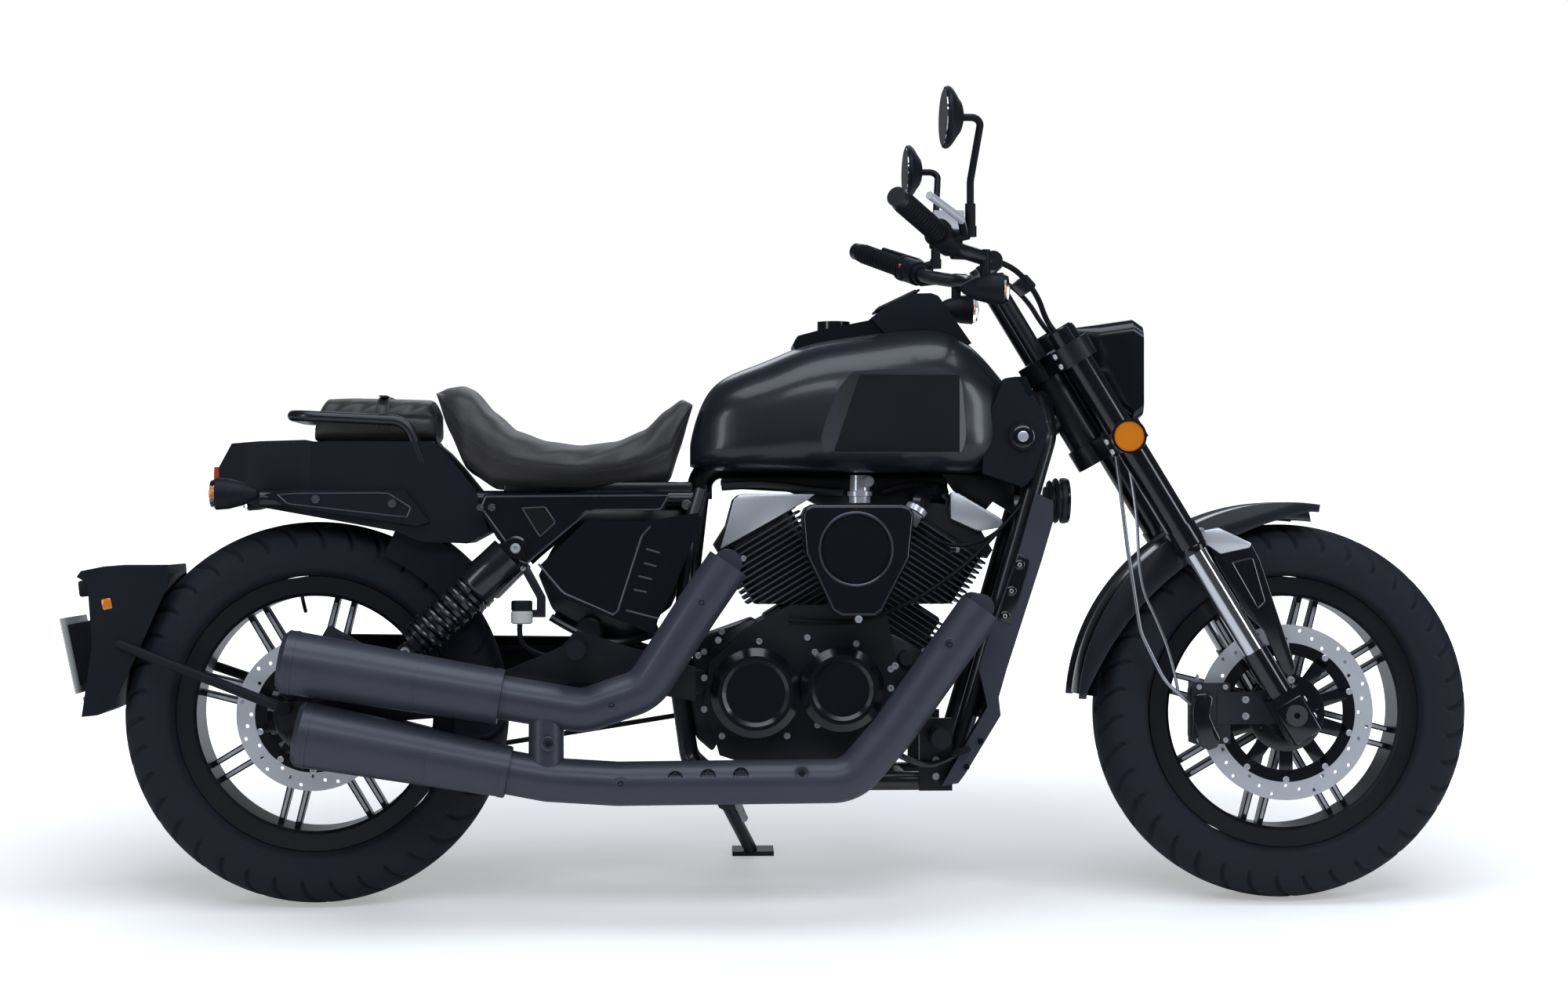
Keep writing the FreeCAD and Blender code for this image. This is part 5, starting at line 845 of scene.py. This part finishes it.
forkTrim = bmesh.new()
for side in (1, -1):
    turned(forkTrim, legSpot(705, side), forkUp, [(0, 0), (0, 22), (5, 22), (8, 19), (8, 10), (5, 9), (5, 0)])
    turned(forkTrim, legSpot(300, side), forkUp, [(0, 18.8), (0, 24), (9, 25.2), (12, 24), (12, 18.8)], ring=True)
    for place in (503, 521, 659, 677):
        bolt(forkTrim, legSpot(place, side, 12) + forkBack * 30, forkBack, 5, finish=1)
    for place in (-18, 12):
        bolt(forkTrim, legSpot(place, side, 8) - forkBack * 26, -forkBack, 5.5, finish=1)
    reflector = legSpot(512, side, 42.4)
    turned(forkTrim, reflector, (0, side, 0), [(0, 23.5), (0, 27.6), (1.6, 27.2), (1.6, 23.5)], ring=True)
    block(forkTrim, legSpot(-8, side, 2), (48, 44, 66), (0, -forkLine["rake"], 0), soften=3)
    turned(forkTrim, legSpot(0, side, 24), (0, side, 0), [(0, 11), (0, 17), (3, 17), (4, 15), (4, 11)], ring=True,
           finish=1)
dress("forkTrim", forkTrim, ["forkGloss", "machined"], "fork")

secondHose = bmesh.new()
hose(secondHose, [(1278, -92, 717), (1295, -96, 636), (1298, -97, 506), (1326, -96, 450), (1351, -93, 388),
                  (1363, -82, 333)], 2.6)
dress("secondHose", secondHose, "hoseSteel", "fork")

caliper = {
    "cover": [(1389, 331), (1406, 334), (1417, 326), (1414, 308), (1412, 296), (1419, 279), (1429, 261), (1424, 247),
              (1410, 242), (1397, 249), (1392, 265), (1387, 284), (1386, 302), (1388, 319)],
    "near": -81, "far": -92, "corners": [(1396, 258), (1438, 258), (1396, 342), (1438, 342)],
    "mounts": [(1470, 322), (1470, 296)], "back": (1392, -57, 300), "bleed": (1398, -57, 352)}
brakes = bmesh.new()
slab(brakes, caliper["cover"], caliper["near"], caliper["far"], soften=3, finish=2)
for x, z in caliper["corners"]:
    bolt(brakes, (x, -82, z), sideways, 4.5, finish=1)
block(brakes, caliper["back"], (14, 40, 82), soften=4)
for x, z in caliper["mounts"]:
    bolt(brakes, (x, -84, z), sideways, 6, finish=1)
turned(brakes, caliper["bleed"], upward, [(0, 0), (0, 3), (6, 3), (6, 2), (9, 2), (9, 0)], steps=14, finish=1)
dress("frontBrakeTrim", brakes, ["castGrey", "machined", "forkGloss"], "fork")


carrier = {"arms": 10, "buttonInset": 33, "bolts": 5, "boltRing": 50, "rim": (48, 29), "hub": (38, 62), "thick": 5.2,
           "armWidth": 22}


def discButtons(name, wheel, face, body):
    def around(reach, turn, lift=0):
        return wheel["x"] + reach * math.sin(turn), -face + lift, wheel["z"] + reach * math.cos(turn)

    shape = bmesh.new()
    turns = [index * 360 / carrier["arms"] for index in range(carrier["arms"])]
    for turn in turns:
        bolt(shape, around(wheel["disc"] - carrier["buttonInset"], math.radians(turn)), sideways, 5.2, tall=0.4)
    for index in range(carrier["bolts"]):
        turn = math.radians(index * 360 / carrier["bolts"] + 18)
        bolt(shape, around(carrier["boltRing"], turn), sideways, 5.5, finish=1, tall=0.5)
    (low, high), thick = (wheel["disc"] - inset for inset in carrier["rim"]), carrier["thick"]
    turned(shape, around(0, 0, 4.6), sideways, [(0, low), (0, high), (thick, high), (thick, low)],
           steps=96, finish=1, ring=True)
    low, high = carrier["hub"]
    turned(shape, around(0, 0, 4.2), sideways, [(0, low), (0, high), (thick, high), (6, high - 3), (6, low)],
           steps=72, finish=1, ring=True)
    for turn in turns:
        block(shape, around((wheel["disc"] + 14) / 2, math.radians(turn), 2),
              (carrier["armWidth"], thick, wheel["disc"] - 92), (0, turn, 0), soften=1, finish=1)
    dress(name, shape, ["machined", "forkGloss"], body)


stay = bmesh.new()
stayShape = {"arm": [(1409, 574), (1429, 563), (1480, 568), (1493, 543), (1549, 375), (1541, 353), (1529, 360),
                     (1499, 431), (1471, 458), (1424, 537)],
             "window": [(1448, 539), (1480, 547), (1500, 477), (1489, 467)],
             "wedge": [(1398, 589), (1426, 595), (1479, 570), (1476, 563), (1429, 553), (1406, 569)]}
for side in (1, -1):
    slab(stay, stayShape["arm"], side * 82, side * 87, soften=1.5)
    traced(stay, stayShape["window"], side * 87.4, 1.5)
    slab(stay, stayShape["wedge"], side * 76, side * 90, soften=2, finish=1)
    block(stay, legSpot(245, side, -18), (20, 22, 34), (0, -forkLine["rake"], 0), soften=3)
    for x, z in (stayShape["arm"][5], stayShape["wedge"][0]):
        bolt(stay, (x, side * 89, z), (0, side, 0), 6, finish=2)
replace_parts(dress("mudguardStays", stay, ["forkGloss", "coverSilver", "machined"], "fork"), "mudguard_brackets")

valance = bmesh.new()
sweep = {"front": 81, "back": 176, "outer": 335.5, "drop": 44, "steps": 40}
for side in (1, -1):
    outer, inner = [], []
    for index in range(sweep["steps"] + 1):
        share = index / sweep["steps"]
        turn = math.radians(sweep["front"] + (sweep["back"] - sweep["front"]) * share)
        low = sweep["outer"] - 6 - sweep["drop"] * math.sin(math.pi * min(max(share, 0.02), 0.98)) ** 0.7
        for edge, reach in ((outer, sweep["outer"]), (inner, low)):
            edge.append((wheels["front"]["x"] + reach * math.cos(turn), wheels["front"]["z"] + reach * math.sin(turn)))
    slab(valance, outer + inner[::-1], side * 71, side * 74.6, soften=0.8)
dress("mudguardValance", valance, "tankPaint", "fork")

discButtons("frontDiscButtons", wheels["front"], 59, "front_wheel")
discButtons("rearDiscButtons", wheels["rear"], 69, "rear_wheel")
print("fork and brakes dressed")

# Lamps

lamp = bmesh.new()
turned(lamp, (1246, 0, 842), ahead, [(0, 0), (2, 18), (16, 38), (46, 56), (50, 58), (50, 54), (18, 35),
                                          (5, 16), (3, 0)], steps=56)
for side in (1, -1):
    block(lamp, (1294, side * 63, 848), (4, 4, 104), (side * 2, 0, 0), soften=1.2, finish=1)
turned(lamp, (1262, 0, 842), ahead, [(0, 0), (0, 22), (10, 21), (18, 15), (22, 0)], steps=40, finish=2)
dress("headlightBowl", lamp, ["mirrorGlass", "plateWhite", "clearGlass"], "fork")

bulbs = {
    "frontSignalBulbs": dict(spot=(1058, 212, 962), out=(1, 0, 0), body="fork",
                             outline=[(0, 0), (0, 7), (6, 9), (11, 7), (13, 0)]),
    "rearSignalBulbs": dict(spot=(-136, 168, 647), out=(-1, 0, 0), body="frame",
                            outline=[(0, 0), (0, 7), (5, 9), (9, 7), (11, 0)])}
for name, bulb in bulbs.items():
    shape = bmesh.new()
    x, y, z = bulb["spot"]
    for side in (1, -1):
        turned(shape, (x, side * y, z), bulb["out"], bulb["outline"], steps=20)
    dress(name, shape, "amberLens", bulb["body"])

tailTrim = bmesh.new()
for step in range(7):
    block(tailTrim, (-158.4, -42 + step * 14, 670), (1.6, 9, 26), soften=0.6, finish=1)
# Lines along the inset edge of the tail strut panel, lighter as painted highlight
for side in (1, -1):
    traced(tailTrim, [(-50, 646), (-20, 648), (120, 649), (156, 626), (150, 611), (-34, 632)], side * 118.4, 1.3)
dress("tailTrim", tailTrim, ["coverEdge", "redLens"])
print("lamps made")

# Bars: grip ribs, bar ends, mirror glass, switches, harness

barLine = {"tip": (895, 405, 1075), "inner": (965, 290, 1036)}
barTrim = bmesh.new()
for side in (1, -1):
    tip, inner = (Vector((x, side * y, z)) for x, y, z in (barLine["tip"], barLine["inner"]))
    inward = (inner - tip).normalized()
    for index in range(13):
        turned(barTrim, tip + inward * (9 + index * 8.8), inward, [(0, 0), (0.6, 17), (4.6, 17), (5.2, 0)],
               steps=28)
    turned(barTrim, tip, -inward, [(0, 0), (0, 14.8), (3, 14.8), (5, 12), (5, 6), (3.4, 5), (3.4, 0)], finish=1)
    turned(barTrim, tip - inward * 4.2, -inward, [(0, 0), (0, 5), (2.2, 4.4), (2.2, 0)], steps=20, finish=3)
    middle = tip + inward * 154
    back = Vector((-1, 0, 0))
    for lift, kind in ((9, 2), (-2, 1), (-12, 1)):
        block(barTrim, middle + back * 20 + Vector((0, 0, lift)), (6, 11, 7), soften=1.6, finish=kind)
    turned(barTrim, middle + inward * 21, inward, [(0, 0), (0, 17), (9, 16), (9, 0)], finish=1)
    for reach in (-16, 16):
        bolt(barTrim, middle + inward * reach + Vector((-12, 0, -14)), (-0.5, 0, -0.8), 3.4, finish=3)
dress("barTrim", barTrim, ["gripRubber", "plasticSatin", "redLens", "machined"], "fork")

mirror = {"spot": (965.6, 330, 1208), "half": (41, 69), "thick": 1.2}
mirrorGlass = bmesh.new()
for side in (1, -1):
    part = bmesh.new()
    bmesh.ops.create_circle(part, cap_ends=True, radius=1, segments=56)
    bmesh.ops.scale(part, vec=(*mirror["half"], 1), verts=part.verts)
    thicken(part, part.faces[:], (0, 0, mirror["thick"]))
    bmesh.ops.recalc_face_normals(part, faces=part.faces)
    x, y, z = mirror["spot"]
    join(mirrorGlass, part, Matrix.Translation((x, side * y, z)) @ Matrix.Rotation(-math.pi / 2, 4, "Y"))
dress("mirrorGlass", mirrorGlass, "mirrorGlass", "fork")

# side, distance aside at the yoke, radius
cables = [(1, 30, 3.6), (-1, 34, 4.2), (1, 20, 3.2), (-1, 22, 3.0)]
harness = bmesh.new()
for side, spread, thick in cables:
    lift = spread / 3
    hose(harness, [(985, side * 258, 1018 - lift), (1050, side * 190, 1000 + lift), (1104, side * (60 + spread), 1004),
                   (1142, side * (30 + spread), 965), (1160, side * spread, 925), (1182, side * spread * 0.8, 900),
                   (1215, side * spread * 0.6, 884)], thick)
for side in (1, -1):
    turned(harness, (1052, side * 198, 1006), (0.2, side, 0), disc(15, 12), finish=1)
block(harness, (1128, 0, 985), (26, 96, 18), (0, 48, 0), soften=4, finish=1)
dress("barHarness", harness, ["cableJacket", "plasticSatin"], "fork")
print("bars dressed")

# Instruments, filler cap, horn, radiator face

dial = {"spot": (921, 0, 957.5), "face": (920, 0, 960.2), "tilt": -25.5}
cap = {"x": 821, "base": 916.6, "top": 919.4, "screws": 8, "ring": 18.5}
dash = bmesh.new()
block(dash, dial["spot"], (78, 88, 4), (0, dial["tilt"], 0), soften=2, finish=1)
block(dash, dial["face"], (66, 74, 2.4), (0, dial["tilt"], 0), soften=1)
turned(dash, (cap["x"], 0, cap["base"]), upward,
       [(0, 0), (0, 25), (2, 25), (3.4, 22), (3.4, 13), (1.8, 12), (1.8, 0)], finish=2)
block(dash, (cap["x"], 0, 919.5), (16, 4, 2.4), soften=0.8, finish=3)
for index in range(cap["screws"]):
    turn = math.radians(index * 360 / cap["screws"])
    spot = (cap["x"] + cap["ring"] * math.cos(turn), cap["ring"] * math.sin(turn), cap["top"])
    bolt(dash, spot, upward, 1.8, finish=3)
dress("dashAndCap", dash, ["dialFace", "plasticSatin", "coverGloss", "chrome"])

hornFace = bmesh.new()
hornStack = {"back": 1160, "height": 638, "outline": [
    (0, 0), (0, 22), (6, 24), (6, 31), (9, 33), (12, 31), (12, 26), (16, 26), (16, 35), (19, 37), (22, 35), (22, 30),
    (27, 30), (27, 36), (30, 37), (34, 37), (36, 35), (36, 0)]}
turned(hornFace, (hornStack["back"], 0, hornStack["height"]), ahead, hornStack["outline"], steps=48, finish=1)
turned(hornFace, (hornStack["back"] + 4, 0, hornStack["height"] - 34), (0, 0, -1), disc(4, 12), finish=1)
turned(hornFace, (1196, 0, 638), ahead, [(0, 0), (0, 36), (3, 36), (4, 33), (1.5, 30), (1.5, 24), (4, 22),
                                              (4, 14), (1.5, 12), (1.5, 6), (5, 4), (5, 0)])
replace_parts(dress("hornFace", hornFace, ["coverGloss", "castGrey"]), "horn")

core = {"low": (998, 0, 196), "high": (1156, 0, 742), "from": 0.225, "to": 0.725, "slats": 54, "ahead": 36.2}
coreLow, coreSpan = Vector(core["low"]), Vector(core["high"]) - Vector(core["low"])
coreAhead = Vector((coreSpan.z, 0, -coreSpan.x)).normalized()
coreTurn = math.degrees(math.atan2(coreSpan.x, coreSpan.z))
slats = bmesh.new()
for index in range(core["slats"]):
    share = core["from"] + (core["to"] - core["from"]) * index / (core["slats"] - 1)
    block(slats, coreLow + coreSpan * share + coreAhead * core["ahead"], (2.4, 196, 1.4), (0, coreTurn, 0), soften=0)
for index in range(13):
    block(slats, coreLow + coreSpan * 0.475 + coreAhead * core["ahead"] + Vector((0, -96 + index * 16, 0)),
          (3.2, 3.4, 284), (0, coreTurn, 0), soften=0)
for share in (0.205, 0.742):
    block(slats, coreLow + coreSpan * share + coreAhead * 25, (26, 214, 16), (0, coreTurn, 0), soften=5, finish=1)
dress("radiatorSlats", slats, ["radiatorCore", "engineCase"])

shroudBolts = bmesh.new()
for side in (1, -1):
    slab(shroudBolts, [(1101, 555), (1120, 543), (1091, 444), (1068, 451)], side * 137, side * 140, soften=1.2)
    for x, z in ((1103, 537), (1090, 496), (1080, 457)):
        turned(shroudBolts, (x, side * 139.5, z), (0, side, 0), [(0, 0), (0, 8), (2, 8), (3, 6), (3, 0)])
        bolt(shroudBolts, (x, side * 141, z), (0, side, 0), 3.6, finish=1)
    for x, z in ((1042, 262), (1020, 222)):
        bolt(shroudBolts, (x, side * 138, z), (0, side, 0), 5)
    turned(shroudBolts, (1111, side * 121, 738), (0, side, 0), [(0, 0), (0, 18), (1.5, 18), (2.6, 16), (2.6, 9),
                                                                (1.4, 8), (1.4, 0)])
    turned(shroudBolts, (1111, side * 122, 738), (0, side, 0), [(0, 0), (0, 9), (2, 8.4), (2.6, 6), (2.6, 0)],
           finish=1)
dress("shroudTrim", shroudBolts, ["forkGloss", "machined"])
print("front dressed")

# Intake elbow, throttle body, cables on the engine, pedals, pegs and the stand's spring

plumbing = bmesh.new()
turned(plumbing, (860, -44, 634), upward, [(0, 0), (0, 17), (10, 17), (11, 20), (18, 20), (19, 16), (44, 15),
                                               (44, 0)])
turned(plumbing, (872, -58, 668), (0, -1, 0), disc(9, 12, 2))
hose(plumbing, [(1136, -74, 700), (1130, -84, 650), (1084, -92, 598), (1024, -96, 535), (941, -98, 478),
                (867, -98, 450), (820, -98, 444), (745, -98, 450)], 3.4, finish=2)
hose(plumbing, [(1130, -72, 690), (1116, -82, 630), (1064, -90, 576), (1003, -94, 562), (950, -88, 590),
                (930, -60, 612)], 3, finish=2)
for x, z in ((941, 478), (1003, 560)):
    block(plumbing, (x, -92, z), (10, 14, 9), soften=1.5, finish=1)
dress("engineLines", plumbing, ["coverSilver", "forkGloss", "cableJacket"])

pedals = bmesh.new()
hose(pedals, [(915, -112, 240), (940, -116, 226), (975, -122, 222), (1004, -132, 240)], 5)
block(pedals, (1010, -142, 246), (32, 34, 8), (0, -20, 0), soften=3, finish=1)
hose(pedals, [(915, 112, 262), (950, 118, 248), (1010, 126, 252), (1050, 132, 270)], 5)
turned(pedals, (1052, 126, 272), (0, 1, 0), [(0, 0), (0, 7), (4, 9), (34, 9), (36, 7), (36, 0)], finish=1)
for side in (1, -1):
    for start, x, z in ((118, 975, 270), (152, 415, 410)):
        for index in range(9):
            turned(pedals, (x, side * (start + 12 + index * 8.6), z), (0, side, 0), disc(16.2, 4.4), steps=24, finish=1)
    for z in (230, 205):
        bolt(pedals, (975, side * 108, z), (0, side, 0), 6, finish=2)
dress("pedalsAndPegs", pedals, ["frameBlack", "gripRubber", "machined"])

standLine = {"pivot": (640, 122, 165), "foot": (700, 268, 38)}
stand = bmesh.new()
pivot = Vector(standLine["pivot"])
downStand = (Vector(standLine["foot"]) - pivot).normalized()
coilSpring(stand, pivot + downStand * 34 + Vector((18, 0, 0)), pivot + downStand * 92 + Vector((16, 0, 0)),
           5.5, 1.3, 13)
bolt(stand, pivot + downStand * 94 + Vector((8, 0, 0)), ahead, 4)
dress("standSpring", stand, "machined", "side_stand")

# Subframe plate recess, muffler seams, plate fixings, inner panels, reservoir bracket

seatPlate = {"edge": [(274, 643), (556, 645), (543, 623), (434, 622), (332, 536), (267, 626)],
             "diamond": [(330, 625), (365, 627), (381, 603), (357, 581)]}
recess = bmesh.new()
for side in (1, -1):
    # The diamond recess is a dark sheet of painted shade.
    slab(recess, seatPlate["diamond"], side * 149.2, side * 148.4, finish=1)
    # The diamond's outline and the plate edge are lighter lines: painted highlight.
    traced(recess, seatPlate["diamond"], side * 149.4, 1.3)
    traced(recess, seatPlate["edge"], side * 149.3, 1.6)
dress("plateRecess", recess, ["coverEdge", "paintedHoleShade"])

muffler = {"back": [(-27, -192, 391, 49), (-3, -192, 281, 51)], "front": [(300, -192, 336, 42), (312, -192, 221, 39)],
           "seams": [(0.03, 5), (0.60, 3), (0.965, 9)]}
seams = bmesh.new()
for back, front in zip(muffler["back"], muffler["front"]):
    start, end = Vector(back[:3]), Vector(front[:3])
    for share, thick in muffler["seams"]:
        radius = back[3] + (front[3] - back[3]) * share
        turned(seams, start.lerp(end, share), end - start,
               [(0, radius - 2), (0, radius + 0.8), (thick, radius + 0.8), (thick, radius - 2)], ring=True, steps=64)
dress("mufflerSeams", seams, "exhaustSlate")

plate = {"spot": Vector((-376, 0, 395)), "lean": 12}
plateTrim = bmesh.new()
tilt = Matrix.Rotation(-math.radians(plate["lean"]), 4, "Y")
for across in (-72, 72):
    bolt(plateTrim, plate["spot"] + (tilt @ Vector((-2.2, across, 42))), tilt @ Vector((-1, 0, 0)), 4.5)
block(plateTrim, (-352, 0, 500), (44, 58, 26), (0, -6, 0), soften=4, finish=1)
block(plateTrim, plate["spot"] + (tilt @ Vector((-3, 0, -78))), (5, 52, 20), (0, -plate["lean"], 0), soften=1.5,
      finish=2)
for side in (1, -1):
    block(plateTrim, (-318, side * 78, 476), (16, 20, 18), (0, -plate["lean"], 0), soften=3, finish=3)
dress("plateTrim", plateTrim, ["machined", "plasticSatin", "redLens", "amberLens"])

inner = bmesh.new()
for side in (1, -1):
    slab(inner, [(420, 630), (592, 634), (600, 560), (560, 470), (520, 440), (488, 384), (430, 398), (372, 470),
                 (352, 520), (372, 560)], side * 70, side * 82, soften=3)
    hose(inner, [(372, side * 96, 455), (420, side * 100, 425), (480, side * 98, 410), (540, side * 92, 430)], 6)
    hose(inner, [(600, side * 90, 470), (560, side * 98, 415), (500, side * 100, 372), (440, side * 98, 384)], 4.5)
    turned(inner, (432, side * 82, 432), (0, side, 0), disc(22, 20, 4), finish=1)
    bolt(inner, (470, side * 82, 470), (0, side, 0), 5, finish=2)
    turned(inner, (320, side * 149, 563), (0, side, 0), disc(19, 8, 3), finish=3)
    bolt(inner, (320, side * 157, 563), (0, side, 0), 8, finish=2)
block(inner, (446, 0, 658), (296, 196, 18), soften=5)
block(inner, (102, 0, 724), (178, 150, 16), soften=5)
dress("innerPanels", inner, ["frameBlack", "castGrey", "machined", "forkGloss"])

bracket = bmesh.new()
slab(bracket, [(322, 540), (338, 540), (366, 488), (366, 456), (326, 456), (326, 468), (352, 468), (352, 486)],
     -140, -143, soften=1)
bolt(bracket, (331, -143, 532), sideways, 4.5, finish=1)
dress("reservoirBracket", bracket, ["frameBlack", "machined"])
print("trim made")

# White room: the floor and the world behind it stay white, five soft lamps light the machine


def studio():
    world = bpy.data.worlds.new("studio")
    bpy.context.scene.world = world
    world.use_nodes = True
    tree = world.node_tree
    tree.nodes.clear()
    out = tree.nodes.new("ShaderNodeOutputWorld")
    seen, lit, mix = (tree.nodes.new(kind) for kind in ("ShaderNodeBackground", "ShaderNodeBackground",
                                                        "ShaderNodeMixShader"))
    path = tree.nodes.new("ShaderNodeLightPath")
    give(seen, Strength=1, Color=(1, 1, 1, 1))
    give(lit, Color=(0.88, 0.92, 1, 1), Strength=0.07)
    either = tree.nodes.new("ShaderNodeMath")
    either.operation = "MAXIMUM"
    wire(tree, path, "Is Camera Ray", either, 0)
    wire(tree, path, "Is Transmission Ray", either, 1)
    wire(tree, either, 0, mix, "Fac")
    wire(tree, lit, "Background", mix, 1)
    wire(tree, seen, "Background", mix, 2)
    wire(tree, mix, "Shader", out, "Surface")
    lamps = {
        "above": dict(spot=(0.1, -0.5, 3.6), size=(4.4, 1.9), power=74, aim=(0, 0, 0.5)),
        "nearSide": dict(spot=(0.4, -3.0, 3.1), size=(3.6, 0.8), power=38, aim=(0.1, 0, 0.6)),
        "rearSide": dict(spot=(-3.2, -2.6, 1.5), size=(0.7, 2.4), power=26, aim=(-0.3, 0, 0.5)),
        "farSide": dict(spot=(0.4, 4.0, 2.4), size=(3.2, 1.4), power=34, aim=(0, 0, 0.6)),
        "frontEnd": dict(spot=(3.4, -2.0, 1.4), size=(0.6, 2.4), power=30, aim=(0.4, 0, 0.6)),
    }
    for name, values in lamps.items():
        lamp = bpy.data.lights.new(name, "AREA")
        lamp.shape = "RECTANGLE"
        lamp.size, lamp.size_y = values["size"]
        lamp.energy = values["power"]
        lamp.color = (0.86, 0.92, 1)
        holder = placed(name, lamp)
        aim = Vector(values["aim"]) - Vector(values["spot"])
        holder.matrix_world = Matrix.Translation(values["spot"]) @ aim.to_track_quat("-Z", "Y").to_matrix().to_4x4()


def paleFloor():
    ground = bmesh.new()
    bmesh.ops.create_grid(ground, x_segments=2, y_segments=2, size=6)
    mesh = bpy.data.meshes.new("floor")
    ground.to_mesh(mesh)
    ground.free()
    piece = placed("floor", mesh)
    material, tree, shader = basicMaterial("paleFloor")
    give(shader, Base_Color=(0.96, 0.96, 0.97, 1), Roughness=0.9, Specular_IOR_Level=0)
    path = tree.nodes.new("ShaderNodeLightPath")
    place = tree.nodes.new("ShaderNodeTexCoord")
    squash = tree.nodes.new("ShaderNodeMapping")
    give(squash, Scale=(0.5, 1, 1))
    reach = tree.nodes.new("ShaderNodeVectorMath")
    reach.operation = "LENGTH"
    fade = tree.nodes.new("ShaderNodeMapRange")
    fade.interpolation_type = "SMOOTHSTEP"
    give(fade, From_Min=0.45, From_Max=1.3, To_Min=0.34, To_Max=1.05)
    glow = tree.nodes.new("ShaderNodeMath")
    glow.operation = "MULTIPLY"
    wire(tree, place, "Object", squash, "Vector")
    wire(tree, squash, "Vector", reach, 0)
    wire(tree, reach, "Value", fade, "Value")
    wire(tree, path, "Is Camera Ray", glow, 0)
    wire(tree, fade, "Result", glow, 1)
    give(shader, Emission_Color=(1, 1, 1, 1))
    wire(tree, glow, 0, shader, "Emission Strength")
    mesh.materials.append(material)


studio()
paleFloor()
print("studio lit")
